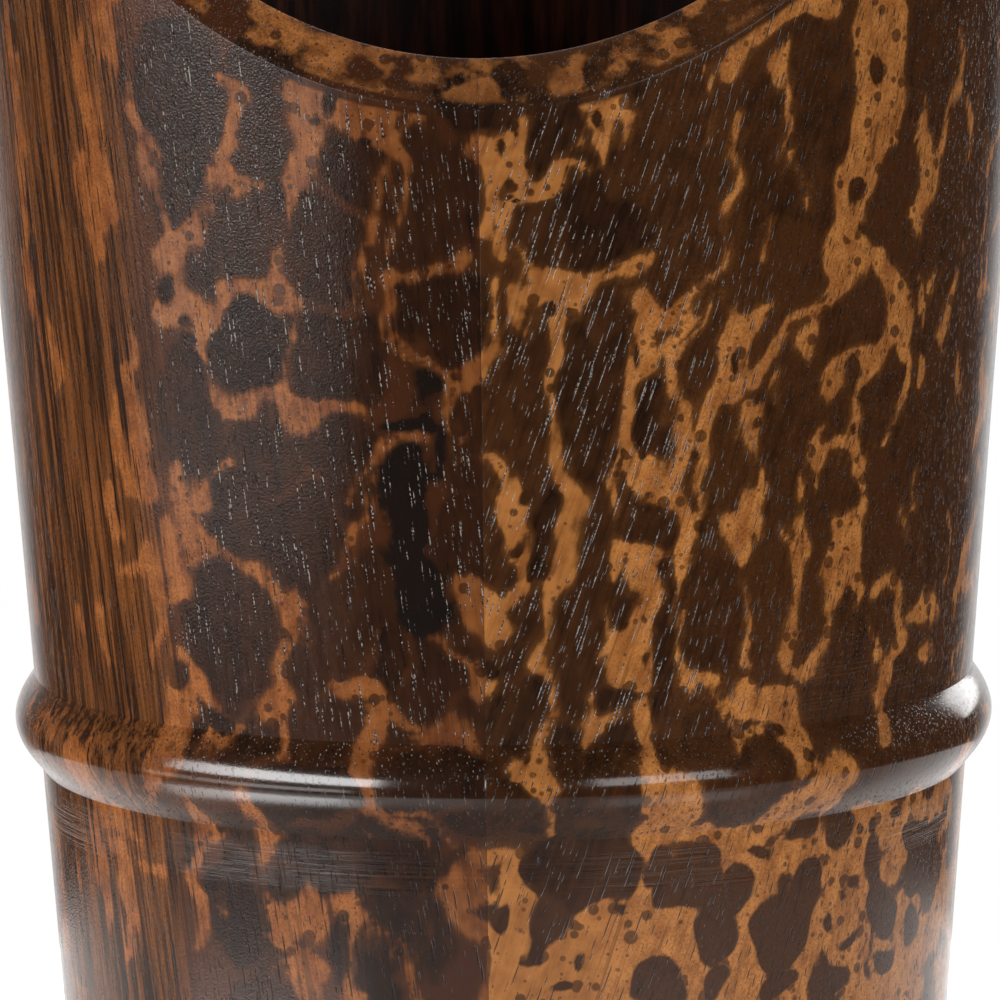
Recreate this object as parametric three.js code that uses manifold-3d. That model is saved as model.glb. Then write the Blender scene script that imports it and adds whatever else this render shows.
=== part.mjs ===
// A turned wooden flower vase: a flaring body glued up from two halves, with a bead around it and a
// slanted mouth, a plug that closes its foot, and a lift-out sheet-metal water liner with a wire bail.
// Millimetres, +Z up, the mouth faces -Y, and the origin is the centre of the standing face.

import * as THREE from 'three';
import { mergeVertices } from 'three/addons/utils/BufferGeometryUtils.js';
import Module from 'manifold-3d';

const wasm = await Module();
wasm.setup();

// Turned body
const baseRadius = 46.85;
const flareAngle = 4.12;
const bodyWall = 5.0;
const footChamfer = 1.5;
const lipHeight = 163.6;
const mouthAngle = 51;

// Bead around the body
const beadHeight = 90.3;
const beadReach = 2.6;
const beadRise = 5;
const beadDrop = 4.9;

// Plug that closes the foot
const plugThickness = 12;
const glueGap = 0.3;

// Water liner
const linerHeight = 134;
const linerSheet = 0.8;
const linerFootClearance = 1.2;
const linerRimClearance = 2.0;
const linerFlange = 5;
const rimWireRadius = 1.0;
const rimCurlEnd = -100;
const seatGap = 0.3;

// Ears inside the liner's rim
const earThickness = 1.2;
const earWidth = 9;
const earLength = 14;
const eyeClearance = 0.3;

// Bail
const bailWireRadius = 1.2;
const bailBendRadius = 3;
const bailHeadRadius = 2.3;
const bailHeadThickness = 1.2;

// Fineness of the facets
const bodySegments = 96;
const beadSteps = 12;
const linerSegments = 64;
const curlSteps = 9;
const wireSides = 10;
const bailSteps = 84;
const eyeSegments = 20;

const radians = THREE.MathUtils.degToRad;
const flare = Math.tan(radians(flareAngle));
const slope = Math.tan(radians(mouthAngle));

// Outside of the plain cone and inside of the bore at a height
function outsideRadius(z) {
  return baseRadius + flare * z;
}

function boreRadius(z) {
  return outsideRadius(z) - bodyWall;
}

// The slanted cut starts at the front of the lip and leaves the body at the top of its back
const lipRadius = outsideRadius(lipHeight);
const topHeight = (lipHeight + slope * (lipRadius + baseRadius)) / (1 - slope * flare);
const topRadius = outsideRadius(topHeight);
const cutSize = 2 * (topHeight + topRadius);

// Liner levels and radii, from the bore and the clearances
const linerFoot = plugThickness + seatGap;
const rimTop = linerFoot + linerHeight;
const curlInside = rimWireRadius + seatGap;
const curlOutside = curlInside + linerSheet;
const curlHeight = rimTop - curlOutside;
const curlRadius = boreRadius(curlHeight) - linerRimClearance - curlOutside;
const linerFootRadius = boreRadius(linerFoot) - linerFootClearance;
const linerTaper = (curlRadius - curlInside - linerFootRadius) / (curlHeight - linerFoot);

function linerOutside(z) {
  return linerFootRadius + linerTaper * (z - linerFoot);
}

function linerInside(z) {
  return linerOutside(z) - linerSheet;
}

// The bail lies on the rim, so its axle is that high
const bailHeight = rimTop + seatGap + bailWireRadius;
const eyeRadius = bailWireRadius + eyeClearance;

function earOutside(z) {
  return linerInside(z) - seatGap;
}

function earInside(z) {
  return earOutside(z) - earThickness;
}

function point(radius, z) {
  return new THREE.Vector2(radius, z);
}

// A profile of radius and height, turned about the Z axis
function turned(profile, segments) {
  return new THREE.LatheGeometry(profile, segments).rotateX(Math.PI / 2);
}

// A closed profile ends where it starts
function turnedRing(profile, segments) {
  return turned([...profile, profile[0].clone()], segments);
}

function toSolid(geometry) {
  const bare = geometry.clone();
  bare.deleteAttribute('normal');
  bare.deleteAttribute('uv');
  const welded = mergeVertices(bare);
  const vertProperties = new Float32Array(welded.attributes.position.array);
  const triVerts = new Uint32Array(welded.index.array);
  return new wasm.Manifold(new wasm.Mesh({ numProp: 3, vertProperties, triVerts }));
}

function toGeometry(solid) {
  const mesh = solid.getMesh();
  const geometry = new THREE.BufferGeometry();
  geometry.setAttribute('position', new THREE.BufferAttribute(mesh.vertProperties, 3));
  geometry.setIndex(new THREE.BufferAttribute(mesh.triVerts, 1));
  geometry.computeVertexNormals();
  return geometry;
}

// Points on the bead, a bulge on the cone that is fullest at its crest
function beadProfile() {
  const points = [];
  for (let step = 0; step <= beadSteps; step += 1) {
    const share = 2 * step / beadSteps - 1;
    const z = beadHeight + share * (share < 0 ? beadDrop : beadRise);
    points.push(point(outsideRadius(z) + beadReach * (1 - share * share), z));
  }
  return points;
}

// The whole turned and bored body, before it is parted at the glue seam
function bodySolid() {
  const blankTop = topHeight + bodyWall;
  const blank = toSolid(turned([
    point(0, 0),
    point(outsideRadius(0) - footChamfer, 0),
    point(outsideRadius(footChamfer), footChamfer),
    ...beadProfile(),
    point(outsideRadius(blankTop), blankTop),
    point(0, blankTop),
  ], bodySegments));
  const boreTop = blankTop + bodyWall;
  const boreFoot = -bodyWall;
  const bore = toSolid(turned([
    point(0, boreFoot),
    point(boreRadius(boreFoot), boreFoot),
    point(boreRadius(boreTop), boreTop),
    point(0, boreTop),
  ], bodySegments));
  const cut = new THREE.BoxGeometry(cutSize, cutSize, cutSize)
    .translate(0, 0, cutSize / 2)
    .rotateX(radians(mouthAngle))
    .translate(0, -lipRadius, lipHeight);
  return blank.subtract(bore).subtract(toSolid(cut));
}

// One side of the glue seam: side is -1 for the left half and 1 for the right
function bodyHalf(body, side) {
  const keep = new THREE.BoxGeometry(cutSize, cutSize, cutSize)
    .translate(side * (cutSize + glueGap) / 2, 0, 0);
  return toGeometry(body.intersect(toSolid(keep)));
}

// The plug drops down the bore and wedges in its taper
function basePlug() {
  return turned([
    point(0, 0),
    point(boreRadius(0) - glueGap, 0),
    point(boreRadius(plugThickness) - glueGap, plugThickness),
    point(0, plugThickness),
  ], bodySegments);
}

function curlArc(radius, from, to) {
  const points = [];
  for (let step = 0; step <= curlSteps; step += 1) {
    const angle = radians(from + (to - from) * step / curlSteps);
    points.push(point(curlRadius + radius * Math.cos(angle), curlHeight + radius * Math.sin(angle)));
  }
  return points;
}

// The wall rises inside the rim wire and curls outwards over it
function linerWall() {
  return turnedRing([
    point(linerOutside(linerFoot), linerFoot),
    ...curlArc(curlInside, 180, rimCurlEnd),
    ...curlArc(curlOutside, rimCurlEnd, 180),
    point(linerInside(linerFoot), linerFoot),
  ], linerSegments);
}

function linerFloor() {
  const floorTop = linerFoot + linerFlange;
  const floorUnder = floorTop - linerSheet;
  const flangeOutside = (z) => linerInside(z) - seatGap;
  const flangeInside = (z) => flangeOutside(z) - linerSheet;
  return turned([
    point(0, floorUnder),
    point(flangeInside(floorUnder), floorUnder),
    point(flangeInside(linerFoot), linerFoot),
    point(flangeOutside(linerFoot), linerFoot),
    point(flangeOutside(floorTop), floorTop),
    point(0, floorTop),
  ], linerSegments);
}

function linerRimWire() {
  return new THREE.TorusGeometry(curlRadius, rimWireRadius, wireSides, linerSegments)
    .translate(0, 0, curlHeight);
}

// An ear follows the liner's wall, with a round head around its eye
function linerEar(side) {
  const earFoot = rimTop - earLength;
  const headRadius = earWidth / 2;
  const sheetTop = bailHeight + headRadius + earThickness;
  const sheet = toSolid(turnedRing([
    point(earInside(earFoot), earFoot),
    point(earOutside(earFoot), earFoot),
    point(earOutside(sheetTop), sheetTop),
    point(earInside(sheetTop), sheetTop),
  ], linerSegments));
  const outline = new THREE.Shape();
  outline.moveTo(-headRadius, earFoot - earThickness);
  outline.lineTo(headRadius, earFoot - earThickness);
  outline.lineTo(headRadius, bailHeight);
  outline.absarc(0, bailHeight, headRadius, 0, Math.PI);
  outline.closePath();
  const eye = new THREE.Path();
  eye.absarc(0, bailHeight, eyeRadius, 0, 2 * Math.PI, true);
  outline.holes.push(eye);
  const axes = new THREE.Matrix4().makeBasis(
    new THREE.Vector3(0, 1, 0),
    new THREE.Vector3(0, 0, 1),
    new THREE.Vector3(1, 0, 0),
  );
  const punch = new THREE.ExtrudeGeometry(outline, {
    depth: curlRadius,
    bevelEnabled: false,
    curveSegments: eyeSegments,
  }).applyMatrix4(axes);
  if (side < 0) {
    punch.rotateZ(Math.PI);
  }
  return toGeometry(sheet.intersect(toSolid(punch)));
}

// A flat path lifted to one height
class LevelCurve extends THREE.Curve {
  constructor(flatPath, height) {
    super();
    this.flatPath = flatPath;
    this.height = height;
  }

  getPoint(t, target = new THREE.Vector3()) {
    const flat = this.flatPath.getPoint(t);
    return target.set(flat.x, flat.y, this.height);
  }
}

// The bail goes round the front of the rim, and its ends turn in through the eyes to round heads
function linerBail() {
  const stubEnd = earInside(bailHeight) - seatGap - bailHeadThickness / 2;
  const bendReach = curlRadius - bailBendRadius;
  const bendX = Math.sqrt(bendReach ** 2 - bailBendRadius ** 2);
  const turn = Math.asin(bailBendRadius / bendReach);
  const path = new THREE.Path();
  path.moveTo(stubEnd, 0);
  path.lineTo(bendX, 0);
  path.absarc(bendX, -bailBendRadius, bailBendRadius, Math.PI / 2, -turn, true);
  path.absarc(0, 0, curlRadius, -turn, turn - Math.PI, true);
  path.absarc(-bendX, -bailBendRadius, bailBendRadius, turn - Math.PI, -1.5 * Math.PI, true);
  path.lineTo(-stubEnd, 0);
  const section = new THREE.Shape();
  section.absarc(0, 0, bailWireRadius, 0, 2 * Math.PI);
  const wire = toSolid(new THREE.ExtrudeGeometry(section, {
    steps: bailSteps,
    extrudePath: new LevelCurve(path, bailHeight),
    curveSegments: wireSides / 2,
  }));
  const heads = [-1, 1].map((side) => toSolid(
    new THREE.CylinderGeometry(bailHeadRadius, bailHeadRadius, bailHeadThickness, eyeSegments)
      .rotateZ(Math.PI / 2)
      .translate(side * stubEnd, 0, bailHeight),
  ));
  return toGeometry(wire.add(heads[0]).add(heads[1]));
}

const wood = { color: 0x7a4a22, roughness: 0.38, metalness: 0 };
const plugWood = { color: 0x3a2415, roughness: 0.6, metalness: 0 };
const copper = { color: 0x9a5a3a, roughness: 0.42, metalness: 1 };
const brassWire = { color: 0xa8834a, roughness: 0.36, metalness: 1 };

function addPiece(group, name, geometry, finish) {
  const mesh = new THREE.Mesh(geometry, new THREE.MeshStandardMaterial(finish));
  mesh.name = name;
  group.add(mesh);
}

const vase = new THREE.Group();
const body = bodySolid();
addPiece(vase, 'body_half_left', bodyHalf(body, -1), wood);
addPiece(vase, 'body_half_right', bodyHalf(body, 1), wood);
addPiece(vase, 'base_plug', basePlug(), plugWood);

const liner = new THREE.Group();
addPiece(liner, 'liner_wall', linerWall(), copper);
addPiece(liner, 'liner_floor', linerFloor(), copper);
addPiece(liner, 'liner_rim_wire', linerRimWire(), brassWire);
addPiece(liner, 'liner_ear_left', linerEar(-1), copper);
addPiece(liner, 'liner_ear_right', linerEar(1), copper);
addPiece(liner, 'liner_bail', linerBail(), brassWire);
vase.add(liner);

export default vase;
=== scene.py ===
import math
import random
from functools import partialmethod

import bmesh
import bpy
import numpy as np
from mathutils import Matrix, Vector


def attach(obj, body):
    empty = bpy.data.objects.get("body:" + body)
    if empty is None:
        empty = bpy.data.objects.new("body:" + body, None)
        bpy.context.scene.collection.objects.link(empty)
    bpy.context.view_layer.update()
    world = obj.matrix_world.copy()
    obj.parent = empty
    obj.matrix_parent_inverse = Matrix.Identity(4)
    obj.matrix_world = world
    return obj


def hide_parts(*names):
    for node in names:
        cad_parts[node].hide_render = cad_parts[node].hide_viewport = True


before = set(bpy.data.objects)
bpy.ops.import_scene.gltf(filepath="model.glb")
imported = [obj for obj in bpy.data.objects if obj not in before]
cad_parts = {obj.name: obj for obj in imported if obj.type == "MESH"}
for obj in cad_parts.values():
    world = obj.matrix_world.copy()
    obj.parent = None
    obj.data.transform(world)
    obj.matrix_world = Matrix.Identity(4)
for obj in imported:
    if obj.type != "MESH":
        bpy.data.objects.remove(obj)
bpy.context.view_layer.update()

mm = 0.001


# small helpers

def srgb(red, green, blue):
    def linear(value):
        share = value / 255
        return share / 12.92 if share <= 0.04045 else ((share + 0.055) / 1.055) ** 2.4
    return (linear(red), linear(green), linear(blue), 1.0)


class Term:
    # a socket in a node tree that can be written into plain arithmetic
    def __init__(self, tree, socket):
        self.tree = tree
        self.socket = socket

    def op(self, operation, *others):
        node = self.tree.nodes.new("ShaderNodeMath")
        node.operation = operation
        for slot, value in zip(node.inputs, (self, *others)):
            feed(self.tree, slot, value)
        return Term(self.tree, node.outputs[0])

    __add__ = partialmethod(op, "ADD")
    __radd__ = partialmethod(op, "ADD")
    __sub__ = partialmethod(op, "SUBTRACT")
    __mul__ = partialmethod(op, "MULTIPLY")
    __rmul__ = partialmethod(op, "MULTIPLY")
    __truediv__ = partialmethod(op, "DIVIDE")
    __neg__ = partialmethod(op, "MULTIPLY", -1.0)
    power = partialmethod(op, "POWER")
    sine = partialmethod(op, "SINE")
    cosine = partialmethod(op, "COSINE")
    least = partialmethod(op, "MINIMUM")
    most = partialmethod(op, "MAXIMUM")
    above = partialmethod(op, "GREATER_THAN")
    absolute = partialmethod(op, "ABSOLUTE")

    def __rsub__(self, other):
        return -self + other

    def clamped(self):
        return self.most(0.0).least(1.0)

    def ramp(self, low, high, toLow=0.0, toHigh=1.0):
        node = self.tree.nodes.new("ShaderNodeMapRange")
        node.interpolation_type = "SMOOTHSTEP"
        for slot, value in zip(node.inputs, (self, low, high, toLow, toHigh)):
            feed(self.tree, slot, value)
        return Term(self.tree, node.outputs[0])


def feed(tree, slot, value):
    if isinstance(value, Term):
        tree.links.new(value.socket, slot)
    elif isinstance(value, bpy.types.NodeSocket):
        tree.links.new(value, slot)
    else:
        slot.default_value = value


def addNode(tree, kind, **settings):
    node = tree.nodes.new(kind)
    for key, value in settings.items():
        setattr(node, key, value)
    return node


def vector(tree, x, y, z):
    node = tree.nodes.new("ShaderNodeCombineXYZ")
    for slot, value in zip(node.inputs, (x, y, z)):
        feed(tree, slot, value)
    return node.outputs[0]


def separate(tree, socket):
    node = tree.nodes.new("ShaderNodeSeparateXYZ")
    tree.links.new(socket, node.inputs[0])
    return [Term(tree, output) for output in node.outputs]


def noise(tree, place, scale, detail=2.0, rough=0.5, warp=0.0):
    node = tree.nodes.new("ShaderNodeTexNoise")
    feed(tree, node.inputs["Vector"], place)
    feed(tree, node.inputs["Scale"], scale)
    node.inputs["Detail"].default_value = detail
    node.inputs["Roughness"].default_value = rough
    node.inputs["Distortion"].default_value = warp
    return Term(tree, node.outputs[0])


def cells(tree, place, scale):
    node = tree.nodes.new("ShaderNodeTexVoronoi")
    feed(tree, node.inputs["Vector"], place)
    feed(tree, node.inputs["Scale"], scale)
    return node


def objectPlace(tree):
    return tree.nodes.new("ShaderNodeTexCoord").outputs["Object"]


def blendColour(tree, share, first, second):
    node = tree.nodes.new("ShaderNodeMix")
    node.data_type = "RGBA"
    feed(tree, node.inputs[0], share)
    feed(tree, node.inputs[6], first)
    feed(tree, node.inputs[7], second)
    return node.outputs[2]


def newMaterial(name):
    material = bpy.data.materials.new(name)
    material.use_nodes = True
    tree = material.node_tree
    tree.nodes.clear()
    output = tree.nodes.new("ShaderNodeOutputMaterial")
    shader = tree.nodes.new("ShaderNodeBsdfPrincipled")
    tree.links.new(shader.outputs[0], output.inputs[0])
    return material, tree, shader


def bump(tree, shader, height, strength, distance):
    node = tree.nodes.new("ShaderNodeBump")
    node.inputs["Strength"].default_value = strength
    node.inputs["Distance"].default_value = distance
    feed(tree, node.inputs["Height"], height)
    tree.links.new(node.outputs[0], shader.inputs["Normal"])


def newGroup(name, setting, usual, outputs):
    # a shader group that takes a place and one setting, and gives values
    group = bpy.data.node_groups.new(name, "ShaderNodeTree")
    group.interface.new_socket("Place", in_out="INPUT", socket_type="NodeSocketVector")
    socket = group.interface.new_socket(setting, in_out="INPUT", socket_type="NodeSocketFloat")
    socket.default_value = usual
    for label in outputs:
        group.interface.new_socket(label, in_out="OUTPUT", socket_type="NodeSocketFloat")
    start = group.nodes.new("NodeGroupInput")
    end = group.nodes.new("NodeGroupOutput")
    return group, start.outputs["Place"], Term(group, start.outputs[setting]), end


def placeGroup(tree, group, **values):
    node = tree.nodes.new("ShaderNodeGroup")
    node.node_tree = group
    for key, value in values.items():
        feed(tree, node.inputs[key], value)
    return {output.name: Term(tree, output) for output in node.outputs}


def startTree(name, inputs):
    # a geometry tree with its named inputs
    tree = bpy.data.node_groups.new(name, "GeometryNodeTree")
    tree.interface.new_socket("Geometry", in_out="OUTPUT", socket_type="NodeSocketGeometry")
    for label, kind in inputs.items():
        tree.interface.new_socket(label, in_out="INPUT", socket_type="NodeSocket" + kind)
    start = tree.nodes.new("NodeGroupInput")
    return tree, {output.name: Term(tree, output) for output in start.outputs if output.name}


def endTree(tree, geometry, finish):
    # real mesh, then its material
    realize = tree.nodes.new("GeometryNodeRealizeInstances")
    paint = tree.nodes.new("GeometryNodeSetMaterial")
    end = tree.nodes.new("NodeGroupOutput")
    tree.links.new(geometry, realize.inputs[0])
    tree.links.new(realize.outputs[0], paint.inputs["Geometry"])
    tree.links.new(finish.socket, paint.inputs["Material"])
    tree.links.new(paint.outputs[0], end.inputs[0])


def addObject(name, mesh):
    thing = bpy.data.objects.new(name, mesh)
    bpy.context.scene.collection.objects.link(thing)
    return thing


def meshFrom(work, name):
    mesh = bpy.data.meshes.new(name)
    work.to_mesh(mesh)
    work.free()
    return mesh


def settle(thing, body, nodes):
    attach(thing, body)
    if nodes:
        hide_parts(*nodes)
    print(thing.name, sum(len(face.vertices) - 2 for face in thing.data.polygons), "triangles")


print("helpers ready")


# camera, where the photograph was taken from

cameraSet = {
    "distance": 0.700,
    "height": 0.2129,
    "azimuth": 2.05,
    "pitch": 8.01,
    "roll": -0.495,
    "focalPixels": 6175,
    "framePixels": 1000,
    "sensor": 36.0,
    "shift": -0.0018,
    "clip": (0.01, 50),
}


def makeCamera(own):
    around = math.radians(own["azimuth"])
    down = math.radians(own["pitch"])
    roll = math.radians(own["roll"])
    place = Vector((own["distance"] * math.sin(around), -own["distance"] * math.cos(around), own["height"]))
    ahead = Vector((-math.sin(around) * math.cos(down), math.cos(around) * math.cos(down), -math.sin(down)))
    level = Vector((math.cos(around), math.sin(around), 0))
    above = level.cross(ahead)
    right = math.cos(roll) * level + math.sin(roll) * above
    up = -math.sin(roll) * level + math.cos(roll) * above
    data = bpy.data.cameras.new("camera")
    data.sensor_fit = "HORIZONTAL"
    data.sensor_width = own["sensor"]
    data.lens = own["focalPixels"] / own["framePixels"] * own["sensor"]
    data.shift_x = own["shift"]
    data.clip_start, data.clip_end = own["clip"]
    camera = addObject("camera", data)
    turn = Matrix((right, up, -ahead)).transposed()
    camera.matrix_world = Matrix.Translation(place) @ turn.to_4x4()
    bpy.context.scene.camera = camera


makeCamera(cameraSet)
print("camera placed")


# turned body, one tree for both halves

bodySet = {
    "Base Radius": 46.85 * mm,
    "Flare": math.tan(math.radians(4.12)),
    "Wall": 5.0 * mm,
    "Foot Round": 1.5 * mm,
    "Lip Height": 163.6 * mm,
    "Mouth Slope": math.tan(math.radians(51)),
    "Bead Height": 90.3 * mm,
    "Bead Reach": 2.6 * mm,
    "Bead Rise": 5.35 * mm,
    "Bead Drop": 5.25 * mm,
    "Bead Fullness": 1.2,
    "Outer Edge": 0.1 * mm,
    "Inner Edge": 1.1 * mm,
    "Edge Share": 0.015,
    "Inner Share": 0.2,
    "Seam Depth": 0.04 * mm,
    "Seam Width": 0.12,
}
bodyRows = {"underside": 3, "foot": 5, "lower": 130, "bead": 36, "upper": 170,
            "outerEdge": 8, "lip": 6, "innerEdge": 5, "bore": 24}
bodyMesh = {"sections": 241, "treeWeld": 0.001 * mm, "weld": 0.002 * mm, "sharp": 30, "boreShare": 0.9}


def makeTurnedHalfTree():
    tree, given = startTree("turnedHalf", {**dict.fromkeys(bodySet, "Float"),
                                           "Start Angle": "Float", "Finish": "Material"})
    last = bodyMesh["sections"] - 1
    rowCount = sum(bodyRows.values())
    grid = tree.nodes.new("GeometryNodeMeshGrid")
    grid.inputs["Size X"].default_value = last
    grid.inputs["Size Y"].default_value = rowCount
    grid.inputs["Vertices X"].default_value = last + 1
    grid.inputs["Vertices Y"].default_value = rowCount + 1
    place = tree.nodes.new("GeometryNodeInputPosition")
    column, row, _ = separate(tree, place.outputs[0])
    column = column + last / 2
    row = row + rowCount / 2

    # the first and last section lie on the seam, the next ones a hair beside it
    width = given["Seam Width"]
    inside = ((column - 1) * (180 / (last - 2))).most(width).least(180 - width)
    onFirst = 1 - column.least(1)
    onLast = (column - (last - 1)).most(0)
    degrees = inside * (1 - onFirst) * (1 - onLast) + onLast * 180
    angle = degrees * math.radians(1) + given["Start Angle"]
    front = angle.cosine()

    base, flare, wall = given["Base Radius"], given["Flare"], given["Wall"]
    lipHeight, slope = given["Lip Height"], given["Mouth Slope"]
    lipRadius = base + flare * lipHeight
    lean = 1 + slope * flare * front
    outerTop = (lipHeight + slope * (lipRadius - base * front)) / lean
    innerTop = (lipHeight + slope * (lipRadius - (base - wall) * front)) / lean

    steps = {}
    done = 0
    for label, count in bodyRows.items():
        steps[label] = ((row - done) / count).clamped()
        done += count

    # every stretch adds its own way, so the section runs on from one to the next
    foot = given["Foot Round"]
    beadLow = given["Bead Height"] - given["Bead Drop"]
    beadTall = given["Bead Rise"] + given["Bead Drop"]
    beadTop = given["Bead Height"] + given["Bead Rise"]
    radius = base - wall + steps["underside"] * (wall - foot)
    quarter = steps["foot"] * (math.pi / 2)
    radius = radius + foot * (1 + flare) * quarter.sine()
    height = foot * (1 - quarter.cosine())
    lower = steps["lower"] * (beadLow - foot)
    bead = steps["bead"] * beadTall
    upper = steps["upper"] * (outerTop - given["Outer Edge"] - beadTop)
    offCrest = bead - given["Bead Drop"]
    share = offCrest.most(0) / given["Bead Rise"] + offCrest.least(0) / given["Bead Drop"]
    swell = (1 - share * share).most(0).power(given["Bead Fullness"])
    radius = radius + flare * (lower + bead + upper) + given["Bead Reach"] * swell
    height = height + lower + bead + upper

    # lip: a crisp outer edge, the cut face and a rounded inner edge
    acrossR = -wall + flare * (innerTop - outerTop)
    acrossZ = innerTop - outerTop
    cut = given["Edge Share"]
    step = steps["outerEdge"]
    rise = given["Outer Edge"] * (2 * step * (1 - step) + step * step)
    radius = radius + flare * rise + acrossR * cut * step * step
    height = height + rise + acrossZ * cut * step * step
    flat = steps["lip"] * (1 - cut - given["Inner Share"])
    radius = radius + acrossR * flat
    height = height + acrossZ * flat
    step = steps["innerEdge"]
    fall = given["Inner Edge"] * step * step
    over = given["Inner Share"] * (2 * step * (1 - step) + step * step)
    radius = radius + acrossR * over - flare * fall
    height = height + acrossZ * over - fall
    down = steps["bore"] * (innerTop - given["Inner Edge"])
    radius = radius - flare * down
    height = height - down

    onSeam = (onFirst + onLast).clamped()
    skin = steps["lower"].above(0) * (1 - steps["innerEdge"])
    radius = radius - given["Seam Depth"] * onSeam * skin
    mark = addNode(tree, "GeometryNodeStoreNamedAttribute", data_type="FLOAT", domain="POINT")
    mark.inputs["Name"].default_value = "boreSide"
    tree.links.new(grid.outputs["Mesh"], mark.inputs["Geometry"])
    feed(tree, mark.inputs["Value"], steps["bore"].above(0))
    move = tree.nodes.new("GeometryNodeSetPosition")
    tree.links.new(mark.outputs[0], move.inputs["Geometry"])
    feed(tree, move.inputs["Position"], vector(tree, radius * angle.sine(), -radius * front, height))
    weld = tree.nodes.new("GeometryNodeMergeByDistance")
    weld.inputs["Distance"].default_value = bodyMesh["treeWeld"]
    tree.links.new(move.outputs[0], weld.inputs["Geometry"])
    endTree(tree, weld.outputs[0], given["Finish"])
    return tree


def bakeTree(name, tree, values, mesh=None):
    holder = addObject(name + "Maker", mesh or bpy.data.meshes.new(name + "Seed"))
    modifier = holder.modifiers.new("maker", "NODES")
    modifier.node_group = tree
    for item in tree.interface.items_tree:
        if item.in_out == "INPUT" and item.name in values:
            modifier[item.identifier] = values[item.name]
    depsgraph = bpy.context.evaluated_depsgraph_get()
    baked = bpy.data.meshes.new_from_object(holder.evaluated_get(depsgraph))
    holder.modifiers.remove(modifier)
    bpy.data.objects.remove(holder)
    for index in reversed(range(len(baked.materials))):
        if baked.materials[index] is None:
            baked.materials.pop(index=index)
    baked.polygons.foreach_set("material_index", [0] * len(baked.polygons))
    baked.name = name
    return addObject(name, baked)


def closeAndSmooth(thing, sharpAngle):
    work = bmesh.new()
    work.from_mesh(thing.data)
    bmesh.ops.remove_doubles(work, verts=work.verts, dist=bodyMesh["weld"])
    bmesh.ops.holes_fill(work, edges=[edge for edge in work.edges if edge.is_boundary], sides=0)
    bmesh.ops.recalc_face_normals(work, faces=work.faces)
    work.to_mesh(thing.data)
    work.free()
    thing.data.shade_smooth()
    thing.data.set_sharp_from_angle(angle=math.radians(sharpAngle))


turnedHalf = makeTurnedHalfTree()


def makeHalf(name, startAngle, finish, boreFinish):
    half = bakeTree(name, turnedHalf, {**bodySet, "Start Angle": startAngle, "Finish": finish})
    closeAndSmooth(half, bodyMesh["sharp"])
    half.data.materials.append(boreFinish)
    side = np.zeros(len(half.data.vertices), np.float32)
    half.data.attributes["boreSide"].data.foreach_get("value", side)
    for face in half.data.polygons:
        if np.mean(side[list(face.vertices)]) > bodyMesh["boreShare"]:
            face.material_index = 1
    return half


# stain marks read off the front, as turn and height of the middle, half width, half height and lean

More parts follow.
